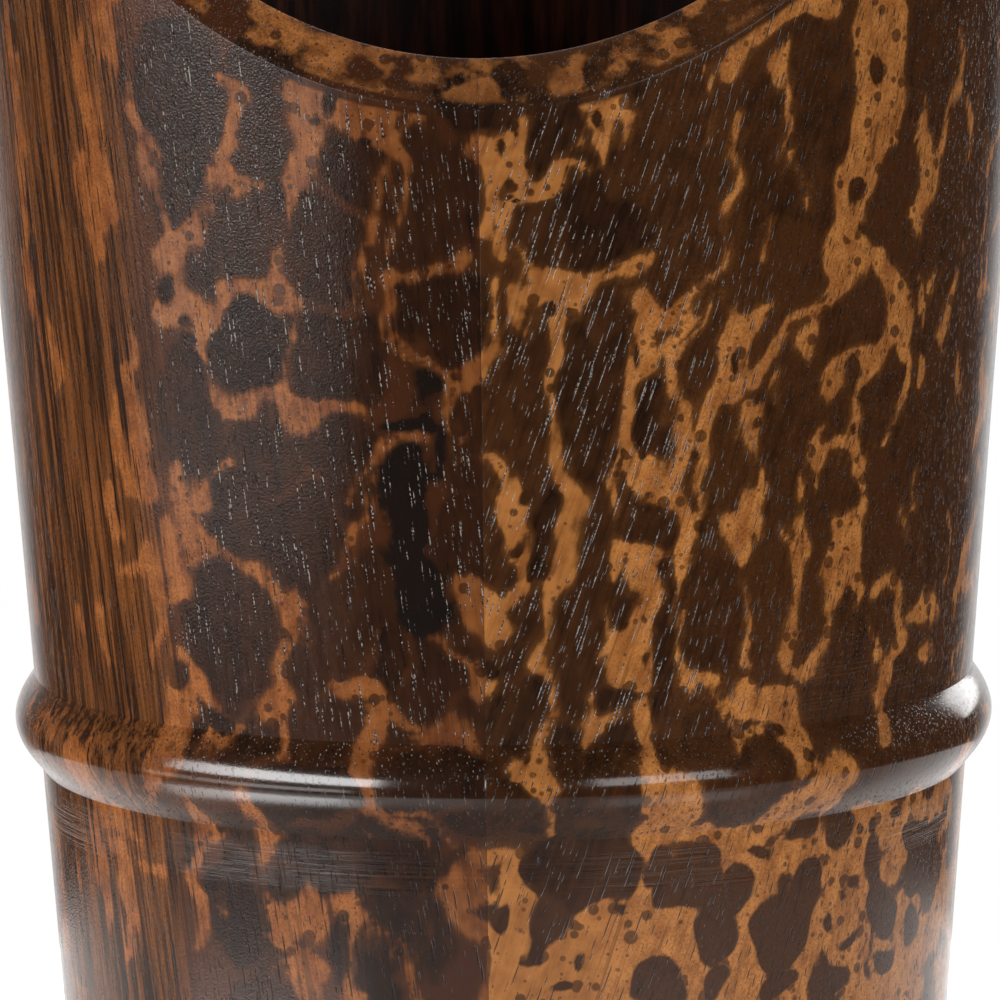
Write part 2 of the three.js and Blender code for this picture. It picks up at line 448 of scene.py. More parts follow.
frontDrops = [
    (-33, 164.5, 5.5, 8, 0), (-33.5, 154, 3.6, 3.3, 0), (-26.5, 151, 4.6, 4.6, 0),
    (-22.8, 168.5, 3.2, 3, 10),
    (-23, 159.5, 2.7, 4.2, 0), (-12.6, 156, 3.2, 4.3, 0), (-17, 150.5, 4.2, 5.5, 15),
    (-16.2, 146, 3.6, 6, 8),
    (-15.8, 138.3, 5.2, 5.8, 0), (-5.2, 154, 4.6, 8.5, 8), (0.8, 164.3, 4.2, 3, 0), (-26, 137.5, 5.4, 5, 0),
    (-3.2, 141.3, 4.9, 5, 20), (-7.3, 141, 1.8, 4.2, -12), (-24, 126.5, 4.2, 4.6, 0),
    (-15.5, 125.5, 4.6, 5, 0),
    (-34, 129.5, 4.3, 7, 0), (-28.5, 119.5, 3.6, 5, 0), (-19.5, 117, 4.6, 7, 0),
    (-15.5, 109.5, 5.2, 7, -10),
    (-30.5, 107, 5.1, 7.3, 0), (-21, 103, 2.8, 5, 0), (-19, 97.5, 4.2, 4.2, 0), (-11, 105.5, 4, 5, 0),
    (-5.2, 104, 4, 6, 0), (-9, 97.3, 1.6, 1.6, 0), (-3, 99.5, 2.5, 2.2, 0), (-2.5, 93, 3, 1.6, 0),
    (-20, 90, 5.5, 4, 0), (-9, 91, 3.5, 2.5, 0), (2, 88.7, 7.5, 2.2, -4), (-27.5, 95, 3, 2.4, 0),
    (-33, 96.5, 2.6, 1.4, 0), (-36, 95, 1.2, 1.5, 0), (-38.5, 101.5, 1.2, 1, 0), (-31, 84.3, 2.3, 1.2, 0),
    (-44, 82.5, 6, 3.2, 0), (-25, 80, 2.6, 2.6, 0), (-14, 83.5, 11.5, 4.3, -4), (-5, 83.4, 3, 2.8, 0),
    (-10.5, 76, 3.6, 5, -25), (-15, 71, 2.6, 5, -20), (-6.3, 76, 2, 5, -15), (-31.5, 75.5, 3.8, 5, 0),
    (-36.5, 143.5, 1.5, 1.5, 0), (-32, 144.5, 2, 1.7, 0), (-34, 140, 0.7, 0.7, 0),
    (-33.5, 138, 0.8, 0.9, 0),
    (-16.8, 161.5, 0.8, 0.8, 0), (-17.8, 162, 0.5, 0.5, 0), (-15.2, 164, 0.9, 1.3, 0),
    (-12.2, 161.3, 0.8, 0.8, 0),
    (-8, 161.5, 0.5, 0.8, 0), (-9.7, 161.2, 0.3, 0.4, 0), (-2.5, 135.3, 0.8, 0.8, 0),
    (-2, 131.8, 1.3, 1.5, 0),
    (11, 82, 6.6, 5, 0), (12.5, 89.5, 4.3, 5, 0), (7.5, 76.5, 1.8, 3, 15), (7.6, 161, 2.5, 4.1, 0),
    (12.2, 162.2, 1, 1, 0), (11, 166.4, 1, 1, 0), (13, 167.2, 0.7, 0.6, 0), (3.8, 157, 1.1, 1, 0),
    (2, 159, 0.7, 0.7, 0), (4.3, 154.6, 1.1, 0.6, 0), (9.7, 157.3, 1.5, 1.6, 0),
    (15.5, 167.5, 2.5, 1.4, 10),
    (22, 171, 4, 2.4, 15), (19.5, 158.5, 6.5, 8, 10), (12.5, 152.5, 5, 5.5, 20), (24.5, 150, 4.5, 8, 5),
    (5.5, 150.5, 2.6, 4, 15), (22, 145.5, 4.5, 3.5, 0), (6.3, 142.2, 0.9, 1.2, 0), (8.5, 142, 0.5, 0.9, 10),
    (4, 134, 2.6, 7.5, 0), (3.1, 142.5, 0.8, 3.5, 0), (11.8, 133.5, 3.1, 9.5, -6), (13.8, 143, 1.3, 4, 10),
    (18.8, 130.3, 2.4, 4.2, 8), (23.2, 136.3, 1.9, 5.2, 5), (24, 141.5, 2.6, 1.2, 35),
    (28, 136.5, 0.7, 1.5, 0),
    (17, 139, 0.4, 1.2, 10), (16.3, 136, 0.5, 1.5, 0), (27.7, 125.5, 2.4, 5.5, 0), (22.8, 126, 0.8, 0.8, 0),
    (4.2, 123, 0.7, 0.8, 0), (13.8, 126, 0.5, 1.1, 0), (18.6, 122.8, 0.5, 0.5, 0), (0.5, 128.5, 3.3, 6, 0),
    (-1.5, 117.5, 3.2, 4.2, 0), (2.5, 114.4, 1.4, 1.6, 0), (3.6, 118, 1.1, 0.7, 0),
    (-2.8, 106.6, 1.7, 1.4, 0),
    (0.6, 104, 1.2, 0.8, 0), (5.2, 107, 2, 5.5, 10), (4.5, 98.5, 2.7, 4.5, 10), (7.3, 118, 1.6, 5, 12),
    (11.3, 110, 2.9, 11.5, 8), (15.6, 110, 1.7, 2.3, 10), (17.2, 119.2, 2.8, 2.7, 0),
    (20, 106.5, 1.7, 9.5, 3),
    (26.2, 108.5, 3.7, 6.6, 4), (24.3, 118.5, 1.1, 4, 5), (26.5, 118.5, 0.9, 2.4, 0), (24.5, 97, 5, 3.6, 0),
    (14.5, 99.6, 1.9, 1.9, 15), (14.8, 95, 2.3, 1.8, 0), (9.5, 96, 1.9, 4, 0), (17.5, 103.8, 0.3, 0.4, 0),
    (36, 160, 4.6, 12.5, 0), (45.3, 166.3, 1.3, 2, 0), (43.2, 153.2, 1.2, 1.6, 0), (44.5, 149.3, 0.6, 1, 0),
    (56, 166, 4.6, 8.5, 0), (49.3, 153.5, 3.3, 4.2, 10), (30, 157, 2.4, 9, 5), (43, 139.7, 4.8, 4.4, 10),
    (54.6, 145.3, 1.7, 4.3, 8), (58.6, 145.5, 2, 4.2, 6), (47.7, 129.2, 2.8, 5.4, 8),
    (41, 128.2, 1.8, 3, 8),
    (43.6, 133.5, 0.9, 1.6, 8), (44.6, 127.5, 0.5, 1, 0), (57, 137, 1.2, 2.3, 0), (54.5, 138, 0.6, 1, 0),
    (58.7, 134.5, 1.4, 2.4, 0), (62.5, 136, 1.8, 2.1, 0), (52, 132, 0.7, 1.1, 10), (51.2, 133, 0.4, 0.7, 0),
    (58, 124.5, 7.5, 6.3, 0), (34, 127, 3.3, 9, 5), (35, 144, 4, 6, 10), (30.5, 146, 2.5, 6, 8),
    (66, 150, 3, 14, 3), (70, 130, 3, 9, 0), (42.6, 121.2, 3.3, 3.4, 0), (41, 116, 1.6, 1.9, 0),
    (42.2, 114.3, 0.7, 0.6, 0), (38.8, 119.5, 0.7, 1, 0), (33.2, 110.5, 2.9, 8, 0),
    (39.6, 107.8, 2.1, 5.2, 5),
    (45.6, 101.8, 4.4, 8.3, 6), (51, 115.5, 4.1, 6, 5), (52.6, 106.3, 3.4, 2.6, 0),
    (60.5, 113.5, 4.8, 7, 0),
    (58, 107.6, 1.5, 1.6, 0), (54.7, 99.5, 1, 1.6, 0), (57.5, 96.3, 5.5, 3.8, 10), (66, 97, 4, 5, 0),
    (68, 113, 3, 5, 0), (31, 97, 1, 0.7, 0), (35.6, 95.3, 0.8, 0.7, 0), (31, 93.5, 2.6, 1.6, 0),
    (36, 92, 3, 2, 0), (30, 89, 4.5, 3, 0), (52.5, 88.5, 5, 3, 10), (62, 91, 3, 3, 0),
    (20.2, 81.8, 1.6, 1.5, 0), (26.5, 82.3, 1.8, 1.7, 0), (23, 79, 2.8, 2.7, 0), (28, 74, 2.7, 4, 0),
    (10.8, 71.2, 0.8, 1, 0), (15.5, 76.7, 1, 0.7, 0), (20, 68.5, 3.4, 2.6, 0), (28.5, 68, 2, 1.8, 0),
    (30, 78, 2.4, 2.6, 30), (8, 68, 1.5, 1, 0), (5, 72.5, 0.7, 0.7, 0), (6.3, 73.5, 0.7, 1.5, 10),
    (1, 76.5, 1, 1.8, 0), (-0.3, 77.8, 0.8, 1, 0), (37, 73, 4.3, 4.7, 0), (41.3, 78.5, 1.6, 2.3, 5),
    (37, 78, 0.8, 2, 5), (33.5, 82, 1.5, 1, 0), (39.5, 84.2, 2.3, 1, 0), (46, 83.3, 2.2, 1.8, 0),
    (52, 82.5, 0.9, 1.1, 0), (51.5, 79.8, 1.4, 1.6, 0), (49, 77.3, 0.8, 0.9, 0), (47, 76, 0.6, 0.7, 0),
    (53.5, 77, 0.7, 1, 10), (54.5, 73, 3.2, 3, 0), (54, 69, 0.4, 2, 0), (45.3, 73, 0.8, 1, 0),
    (48, 70.8, 1.3, 1, 10), (44.5, 69, 0.7, 0.8, 0), (45, 65.5, 3.5, 3.5, 0), (37, 66.7, 3, 2, 0),
    (52.5, 65.5, 1, 1.2, 0), (56.5, 67, 1.8, 1.8, 0), (62.5, 69, 2, 2.5, 0), (62, 80, 3.5, 2.2, 0),
    (62, 76, 2.4, 3.5, 0), (68, 76, 3, 4, 0), (57, 83.5, 1, 1, 0),
]
sootPatches = [(-8.6, 121.3, 3.0, 6.4, 0), (-7.4, 113.2, 3.0, 5.8, -14), (-6.9, 130.3, 3.5, 1.3, 0),
               (-4.6, 128.0, 1.0, 2.6, 0), (-6.0, 134.2, 1.7, 2.0, 0), (-11.8, 128.3, 0.8, 0.7, 0)]

# bare lines left between the marks, each a run of turn, height and half width

paleStrokes = [
    # upper left
    [(-47.5, 171, 0.4), (-47.8, 168, 1.0), (-46.7, 165, 0.9), (-46.7, 161.5, 0.8), (-45.7, 158, 0.8),
     (-45, 155, 1.2), (-44.5, 151, 1.4)],
    [(-62.5, 173, 0.8), (-62.5, 163, 1.0), (-62.2, 155, 1.0), (-61.5, 147, 0.9)],
    [(-43, 175, 1.2), (-42.5, 170, 1.2), (-42.3, 167, 0.6)],
    [(-40, 165, 0.5), (-39, 161.5, 1.1), (-37, 158.8, 0.9)],
    [(-38.5, 157.5, 0.5), (-37.2, 155, 0.8), (-36, 152, 0.6)],
    [(-48, 155.5, 1.5), (-47, 152, 2.0), (-46.8, 149, 1.0)],
    [(-27.8, 166.5, 0.6), (-26, 164, 1.3), (-25.6, 162, 1.3), (-27.8, 160, 0.7), (-28.2, 157.5, 0.4)],
    [(-27.6, 157, 0.6), (-27.5, 155, 1.0), (-30.5, 154.6, 0.7)],
    [(-27.5, 155, 1.0), (-24.5, 155.2, 0.6)],
    [(-30.2, 152.3, 0.7), (-32.3, 150.3, 1.2), (-35, 150.2, 1.0), (-35.5, 147, 1.6)],
    [(-18.5, 166, 1.6), (-17.8, 163, 2.4), (-18.5, 160, 2.2), (-19.6, 157, 1.2), (-20.3, 154, 0.7),
     (-20.8, 151.5, 0.3)],
    [(-17, 166, 1.2), (-13.5, 164, 1.6), (-10.5, 163, 1.8), (-7.5, 162.8, 1.4)],
    [(-9.3, 161.5, 1.6), (-8.6, 159, 1.6), (-7.8, 157, 1.6), (-7.6, 155, 1.0), (-8.3, 152.5, 0.6),
     (-9.2, 149, 0.4)],
    [(-9.6, 158.5, 0.5), (-10.4, 155.5, 0.7), (-11.6, 152.5, 0.5), (-12.3, 149.5, 0.4)],
    [(-24, 173, 1.6), (-18, 169.5, 1.6), (-12, 167.3, 1.8), (-6, 166.6, 1.4)],
    [(-64, 146, 0.7), (-62.5, 142, 0.9), (-61.8, 138, 0.5), (-61.3, 134, 0.3)],
    [(-58.3, 138, 0.3), (-57.3, 134, 0.6), (-57.2, 132, 0.3)],
    [(-41.8, 137, 0.3), (-43.3, 133.8, 0.9), (-42.5, 131, 0.7), (-41.8, 127, 1.2), (-42, 123, 1.6),
     (-41.5, 120.5, 1.0)],
    [(-45.3, 131, 0.3), (-45.5, 127.5, 0.7), (-44.8, 124.5, 0.9), (-43.5, 122, 1.5)],
    [(-37.5, 142, 1.4), (-34.5, 141.5, 1.6), (-31.5, 142.5, 1.6), (-29, 143.5, 1.3), (-26, 143, 1.2),
     (-23.5, 143.2, 1.2)],
    [(-35.8, 147, 1.3), (-34.8, 144.5, 0.8)],
    [(-32.3, 140, 1.0), (-32.2, 137.5, 0.6), (-31.3, 134.5, 0.4), (-30.6, 132.6, 0.8), (-28.3, 131.6, 1.1),
     (-26, 131.3, 0.7)],
    [(-37, 121.5, 0.6), (-34.5, 122.5, 1.4), (-32, 123.3, 1.2), (-30.5, 124.5, 0.6)],
    [(-22.4, 147.5, 0.3), (-22.6, 144.8, 1.3), (-24.5, 143.5, 1.0)],
    [(-22.6, 144.5, 1.3), (-19.8, 143.8, 1.2), (-18.8, 142.8, 0.9), (-19.8, 140.5, 0.7), (-21, 138.2, 0.45),
     (-21.6, 135.5, 0.5),
     (-21.7, 133.2, 0.8), (-20.3, 131.5, 1.3), (-18, 130.8, 1.8), (-16, 131.8, 1.2), (-14, 132.2, 0.9),
     (-12.7, 132.3, 0.6)],
    [(-21.7, 132.8, 0.8), (-24, 132, 0.8)],
    [(-12.9, 149, 0.5), (-13.2, 146, 0.7), (-13.9, 144.2, 0.4)],
    [(-8.8, 145.4, 0.9), (-6.2, 146.2, 1.2), (-4, 146.9, 0.9), (-1.8, 148.5, 0.3)],
    [(-9.6, 145, 0.7), (-9.4, 142, 0.6), (-8.6, 139.8, 0.6), (-7.3, 137.8, 0.8), (-5.8, 137.6, 0.7),
     (-4.2, 136, 0.8), (-3, 134.8, 0.7)],
    [(-3, 134.2, 0.9), (-1.2, 135.3, 1.0), (0.4, 136.2, 1.0), (1.6, 138.2, 0.7), (2.2, 140.5, 0.5),
     (2.3, 143.5, 0.5), (1.9, 146, 0.3)],
    [(-3.5, 133, 0.7), (-3.4, 131, 0.4)],
    [(-1.2, 131, 0.4), (-2.2, 128.5, 0.5), (-1.6, 126.5, 0.4)],
    [(-8.5, 128.6, 0.7), (-6.7, 128.4, 0.6)],
    [(-10.6, 127.8, 0.5), (-12.3, 125.4, 0.5), (-14.3, 123.6, 0.3)],
    [(-11.3, 124.8, 0.25), (-12.8, 122, 0.3), (-13.6, 119.8, 0.3), (-14.8, 117, 0.8), (-15.2, 115.5, 0.5)],
    [(-16.8, 114.2, 0.6), (-16, 114.6, 0.5)],
    # middle left down to the bead
    [(-42, 114.3, 0.9), (-41.2, 112, 1.0), (-40.6, 109.5, 0.6), (-40.3, 106, 0.3), (-41.5, 103.8, 0.3)],
    [(-38.5, 117, 0.8), (-38, 114, 1.2), (-37.3, 111, 1.0), (-38.5, 108.5, 0.3)],
    [(-46.3, 112, 0.3), (-44, 113, 0.5), (-42.5, 114, 0.7)],
    [(-48, 119.5, 1.0), (-47, 117.5, 0.7)],
    [(-36, 120, 0.8), (-35, 117, 1.2), (-34.3, 115, 1.2), (-32.5, 115.5, 0.9), (-29.8, 114.8, 0.7),
     (-27.5, 114, 0.5)],
    [(-52.3, 108, 0.5), (-51.5, 104.5, 0.3), (-50.7, 101.5, 0.3)],
    [(-56.8, 106, 0.3), (-56.6, 104, 0.3)],
    [(-38, 103.2, 0.6), (-36.6, 101.7, 0.5), (-34.8, 100.8, 0.6), (-32.5, 99.7, 0.6)],
    [(-39.3, 100.5, 0.5), (-38.7, 97.5, 1.4), (-38.8, 94, 1.6), (-40.2, 91, 1.4), (-41, 89, 0.8)],
    [(-37.2, 101, 0.4), (-37, 97.5, 0.6)],
    [(-34, 94.6, 0.7), (-31.5, 95, 0.7), (-29.5, 97, 0.5)],
    [(-53.5, 93.5, 0.4), (-53.5, 91, 0.7)],
    [(-62, 94, 0.4), (-66, 92, 0.4)],
    [(-25.7, 114.3, 0.3), (-24.2, 112.6, 0.6), (-22.6, 111.3, 1.2), (-22.2, 109, 1.3), (-22.2, 106.8, 1.0),
     (-23.6, 104.4, 0.8),
     (-23.9, 102, 0.4), (-24.5, 100, 0.9), (-24.8, 98, 1.5), (-23.9, 95.5, 1.0), (-23.7, 93.5, 0.5)],
    [(-21.5, 108, 0.6), (-20.6, 106, 0.4)],
    [(-16.6, 103.2, 0.6), (-14, 101.6, 1.2), (-11.8, 100.4, 1.3), (-9.6, 99.2, 0.7), (-8, 98.3, 0.5)],
    [(-14.5, 97.8, 0.9), (-12.8, 97, 1.3), (-13.8, 95, 1.3), (-14.6, 93, 1.0)],
    [(-7.8, 96.8, 0.8), (-5.2, 96.6, 1.0), (-3, 97.2, 0.9), (-1.4, 96.8, 0.6)],
    [(-5.6, 108.3, 0.8), (-4.5, 106.6, 0.6)],
    [(-2.3, 112, 0.9), (-1.5, 110.8, 1.6), (0.5, 110, 1.7), (1.6, 108.3, 1.2)],
    [(-3.3, 104.2, 0.6), (-1.6, 103, 1.2), (-1.2, 101.3, 0.9), (-1.8, 100.3, 0.3)],
    [(0.5, 102.8, 0.5), (1.5, 103.8, 0.4)],
    [(-4.4, 106, 0.4), (-3.7, 104.5, 0.4)],
    # upper right
    [(26.6, 167.4, 0.9), (27.4, 170.3, 1.1), (29.9, 172.3, 1.4), (33.4, 173.6, 1.8), (37.2, 174.5, 1.6)],
    [(33.3, 166.5, 0.4), (33.3, 163, 0.7), (33.0, 158, 0.4)],
    [(-0.5, 159, 0.6), (1.2, 157.5, 1.4), (0.8, 154.5, 0.8), (0.6, 151.5, 0.7)],
    [(4, 167, 1.2), (10, 168.5, 2.0), (16, 171.5, 1.8), (20, 174, 1.5)],
    [(4.5, 166, 1.3), (5, 163.5, 0.6), (4.6, 160.5, 0.9), (5.3, 158, 1.5), (6.8, 156, 1.4),
     (9.5, 156.2, 0.8), (10.8, 156.6, 0.3)],
    [(5, 158, 1.2), (2.5, 160, 0.8)],
    [(5.3, 155.5, 1.0), (3.8, 153.5, 0.9), (3, 150.5, 1.1), (2.2, 149, 0.8)],
    [(10.5, 165.3, 1.2), (12.3, 163.5, 1.8), (12.5, 161, 1.5), (13, 159, 0.5)],
    [(14, 164.5, 1.2), (15.8, 163.5, 1.2), (15.5, 161, 0.5)],
    [(9.3, 158.5, 0.3), (9.8, 160, 0.25)],
    [(27.8, 162, 0.4), (27.6, 158, 0.6), (27.2, 154, 0.5), (26.6, 150.5, 1.0)],
    [(24, 168, 0.2), (24.4, 160, 0.2)],
    [(45.5, 171, 4.0), (46, 167, 3.8), (46.5, 163, 3.6), (45.5, 159, 3.4), (44, 156, 2.8), (42, 153, 2.6),
     (41.5, 150, 2.8), (41.5, 147, 2.6)],
    [(53, 163, 0.4), (53.6, 160, 1.0), (54.5, 157, 1.4), (54.5, 153, 1.3), (53.6, 149.5, 1.0)],
    [(60.8, 168, 0.4), (60.5, 164, 0.6), (58.5, 160, 0.9), (57.3, 156, 0.7), (56.6, 152, 0.5)],
    [(62.7, 163, 0.5), (63.5, 159, 0.5), (64, 156, 0.3)],
    [(32, 168, 1.2), (33.5, 164, 1.2), (34, 161, 0.6)],
    [(34.5, 158.7, 0.6), (35.3, 155.5, 0.4), (36.6, 152, 0.4)],
    [(31.6, 151, 0.5), (31, 148, 0.9)],
    [(4.6, 149.5, 0.3), (5.3, 147, 0.6), (6.5, 145.6, 1.2), (9, 145.2, 1.4), (11.5, 145.2, 1.1),
     (13.5, 145.8, 0.7), (16, 146.4, 0.5), (17.8, 147.2, 0.3)],
    [(6, 144, 1.4), (7.8, 142.5, 1.9), (8.2, 139.5, 1.3), (7.8, 137, 0.7), (7.2, 134.5, 0.4),
     (7.5, 132, 0.5), (8.3, 129, 0.6),
     (8.9, 126, 0.5), (9.3, 123, 0.6), (9.9, 121.5, 0.7), (9.2, 118.3, 0.9), (8.4, 115.6, 0.7),
     (7.5, 112.2, 0.6), (7, 109.3, 0.4),
     (6.4, 107, 0.4), (6, 104.3, 0.8), (6.7, 101.5, 0.4), (7.4, 98.8, 0.7), (6.2, 95.6, 0.7),
     (5.2, 93.5, 0.6)],
    [(4.0, 145, 0.4), (4.2, 142, 0.4), (4.4, 139.5, 0.2)],
    [(10, 143.5, 1.2), (11, 142, 0.6)],
    [(15.5, 143, 0.8), (17.2, 143, 1.4), (18.5, 141.8, 1.1), (20, 141.8, 1.0), (21.8, 142.6, 0.9),
     (22.6, 143.5, 0.4)],
    [(17.3, 140.5, 1.6), (17.8, 138, 1.6), (17, 136, 1.6), (15.9, 134, 1.1), (14.8, 131.5, 0.8),
     (14.2, 129, 0.7), (14, 126.5, 0.8),
     (13.9, 123.5, 0.6), (13.9, 121, 0.4)],
    [(15.8, 132, 0.6), (15.7, 129, 0.6), (16, 126.5, 0.8), (17.3, 125.7, 1.0), (18.5, 124, 1.1),
     (19.8, 122, 1.2)],
    [(23.2, 142.8, 0.3), (22.2, 141, 0.4), (21, 138.5, 0.7), (20.9, 136, 0.6), (21.3, 133, 0.5),
     (21.6, 130.5, 0.5), (21.5, 127.5, 0.6),
     (21.2, 124.5, 0.7), (21, 122, 0.9), (22.3, 119, 1.0), (21.8, 116.3, 0.9), (22.1, 114, 0.7),
     (21.4, 111.3, 0.5), (21.2, 108.3, 0.3)],
    [(26, 143, 0.25), (24.2, 141.2, 0.35), (22.4, 139.2, 0.4), (21.4, 137.3, 0.5)],
    [(28.5, 140.5, 1.2), (27.8, 138, 1.6), (27.8, 135, 1.6), (27, 133, 1.2), (25.5, 131, 0.8),
     (24.3, 129, 1.0), (23.9, 126.5, 0.8),
     (24, 123.5, 0.5), (24.6, 121, 0.4), (24, 118.3, 0.4), (23.7, 115, 0.35), (23.6, 112.5, 0.3)],
    [(29.6, 132.5, 0.4), (29.7, 129, 0.4)],
    [(28.5, 140, 1.0), (30.5, 141, 0.8), (33, 142, 0.5)],
    [(26.8, 148.8, 0.4), (25.8, 146, 0.5), (24.6, 144.6, 0.8), (23.2, 143.6, 0.6)],
    [(43.5, 146, 2.4), (41.5, 143.5, 1.6), (39.8, 141.7, 0.9), (37.3, 140.8, 0.9), (35, 139.8, 0.8),
     (33.2, 137.3, 0.8), (31.2, 135.2, 1.0)],
    [(37.8, 139.5, 0.9), (36.5, 137, 0.6)],
    [(47, 146, 1.4), (49.5, 143.5, 1.0), (50.8, 140.5, 1.4), (50.5, 138, 1.4), (48.5, 135.8, 1.0),
     (46, 135, 1.0), (43, 134.8, 0.8), (40.6, 135, 0.7)],
    [(41.3, 133.5, 1.0), (41.8, 131.5, 0.8)],
    [(45.5, 133, 0.8), (44.9, 130, 0.5), (44.8, 127, 0.6), (45.3, 124.5, 0.8), (46.8, 122, 0.4)],
    [(39.7, 128.5, 0.5), (38.8, 126, 0.7), (40, 124.6, 0.7), (43, 124.8, 0.8), (44.8, 124.8, 0.7)],
    [(51.8, 140.5, 1.2), (52.6, 137.5, 1.2), (52.6, 135, 1.0), (53, 132.8, 0.8), (53.3, 130, 0.6),
     (52.2, 127.5, 0.5), (50, 125.5, 0.4), (48, 125.2, 0.4)],
    [(54.5, 143, 0.5), (55.7, 139.5, 0.8), (57, 136, 0.5), (56.5, 132.5, 0.5)],
    [(58.5, 144, 0.3), (57.6, 141, 0.6)],
    [(64, 146, 0.5), (62.3, 141.5, 0.7), (60, 137.5, 0.6), (60.7, 135, 0.4)],
    [(65.5, 134, 0.4), (67, 130, 0.6), (68.7, 125.5, 0.3)],
    [(56.8, 121.5, 0.4), (56.3, 118.5, 0.5)],
    [(31, 131, 0.5), (30.8, 128, 0.7), (31.5, 124.5, 0.8), (32.3, 121.5, 1.2), (31, 119.5, 1.2),
     (31.6, 117, 0.6)],
    [(33.5, 133.5, 0.5), (33.2, 130.5, 0.4)],
    [(36.5, 124, 0.3), (37, 121, 0.6)],
    [(40, 123.8, 0.4), (39.8, 121, 0.3)],
    # middle right down to the bead
    [(3.2, 122, 1.3), (3.5, 118.5, 1.3), (5, 116.7, 1.0), (4.9, 114.2, 0.8), (4.2, 112, 0.8),
     (2.5, 110.8, 0.9), (1.2, 110, 1.0)],
    [(0.6, 127, 0.8), (1.3, 125.2, 0.9), (2, 123.5, 1.0), (3.2, 122, 1.2)],
    [(14.4, 117.3, 0.6), (15.2, 115, 1.4), (17.5, 115.6, 1.5), (19.3, 116, 0.8)],
    [(18, 113, 1.3), (18, 110, 0.9), (17.3, 107.3, 1.4), (14.3, 106.3, 1.0), (13.7, 107.5, 0.6)],
    [(16.3, 104.8, 1.6), (16.6, 102.6, 1.4)],
    [(14, 110.5, 0.4), (13.8, 108.5, 0.5)],
    [(18.9, 112, 0.7), (18.4, 108, 0.7), (18, 104, 0.7), (18.2, 101, 0.4), (17.8, 99, 0.9),
     (17.4, 97.3, 0.8), (18.6, 95.5, 0.5), (19.2, 93, 0.7)],
    [(12.3, 101.2, 0.5), (12, 98.8, 0.9), (12.6, 96.8, 1.2), (14.5, 97, 0.6)],
    [(22.6, 110, 0.4), (22.1, 107, 0.5), (22.3, 104.4, 0.6), (23.8, 102.3, 0.5), (26.2, 100.1, 0.5),
     (27.8, 98.8, 0.8), (29.2, 96.8, 0.9), (29.6, 95, 0.4)],
    [(30.8, 99.5, 1.2), (29.5, 99.5, 0.8)],
    [(26.4, 119.5, 0.4), (26.7, 117.5, 0.3)],
    [(29.3, 120, 1.2), (28.7, 117.2, 0.9), (29.8, 115.3, 0.4)],
    [(30.3, 112, 0.4), (30.8, 106, 0.6), (30.9, 103, 0.7)],
    [(35.3, 116.8, 0.6), (37.3, 113.5, 0.8), (37.6, 110.5, 0.5), (37, 107.3, 0.6), (36.3, 104.5, 0.9),
     (36.5, 102, 0.9)],
    [(37.3, 118.5, 0.4), (38, 115, 0.4)],
    [(45.2, 119, 1.2), (43.7, 116.5, 1.8), (43.5, 113.8, 1.9), (42.3, 111.2, 1.3), (42.6, 108, 0.5),
     (42, 105, 0.4), (40.8, 102.7, 0.7), (38.8, 101, 1.0)],
    [(46.2, 119.7, 0.8), (45.5, 115.5, 0.8), (45.8, 112.3, 1.2), (47.6, 110.8, 0.8), (46.8, 108.3, 0.5)],
    [(32.5, 98.5, 1.2), (36, 97.5, 1.8), (37, 95, 1.8), (37.5, 92.3, 1.6)],
    [(31, 96, 1.0), (32.5, 95, 0.8)],
    [(50.5, 109.5, 0.9), (53.6, 109.3, 1.0), (54.6, 106.5, 1.0), (55, 103.5, 1.2), (54, 101, 1.2),
     (52, 100.6, 0.8), (51.5, 98, 0.8), (51.8, 95, 0.6), (50.8, 92.5, 0.9)],
    [(48.3, 106.8, 0.3), (49.3, 103.8, 0.4), (51, 101.8, 0.8)],
    [(57.5, 106, 1.0), (60, 105.5, 1.2), (63, 106, 1.0)],
    [(62.5, 102, 0.8), (60, 100, 0.6)],
    [(67, 112, 0.6), (66, 109, 0.4)],
    [(69, 94, 0.6), (71.5, 92, 0.7)],
    [(57.5, 114, 0.15), (59.3, 110.5, 0.15)],
    [(53.5, 118.5, 0.8), (55, 115.5, 0.3)],
    [(65, 116, 0.4), (66, 113, 0.3)],
    # bead and below, left
    [(-56, 89, 2.2), (-55.5, 86.5, 1.8)],
    [(-54, 84, 1.4), (-50.5, 83.2, 1.3), (-47, 82.3, 0.9)],
    [(-57.3, 82.5, 0.9), (-56.8, 78.5, 1.1), (-55.8, 74.5, 0.9), (-55, 71.3, 0.5)],
    [(-51.8, 79.8, 1.2), (-51.3, 77, 1.0), (-49.8, 73.7, 1.2), (-49.5, 72.3, 0.4)],
    [(-51.3, 70.7, 0.8), (-52.2, 67.5, 0.3)],
    [(-47.3, 79.5, 0.6), (-44, 78.6, 0.4)],
    [(-36, 84, 0.8), (-37.5, 81.2, 0.9), (-38.2, 79, 0.8), (-36.4, 76.6, 1.0), (-36.9, 73, 0.5)],
    [(-36.3, 87.5, 0.8), (-35.3, 85.8, 0.9), (-33.3, 83.8, 0.7)],
    [(-34.5, 76, 0.4), (-33, 75, 0.4)],
    [(-63, 77, 0.3), (-63.3, 74, 0.3)],
    [(-28.5, 89, 0.9), (-27.5, 86, 0.8), (-25.8, 83.9, 1.2), (-27.2, 82.5, 0.7)],
    [(-27.3, 81.5, 0.3), (-27.2, 79.3, 0.4), (-26, 76.6, 0.9), (-24.3, 75.4, 1.6), (-21.8, 77, 1.4),
     (-21.3, 75, 1.0)],
    [(-26.5, 73.5, 0.6), (-23, 71.5, 0.9), (-21.8, 69.5, 1.6), (-25, 68.3, 1.2), (-23, 66, 1.5)],
    [(-17, 77.8, 1.2), (-16, 75.5, 1.0), (-15.8, 72.5, 0.6), (-16.5, 69.3, 0.5), (-16.2, 66.5, 0.7)],
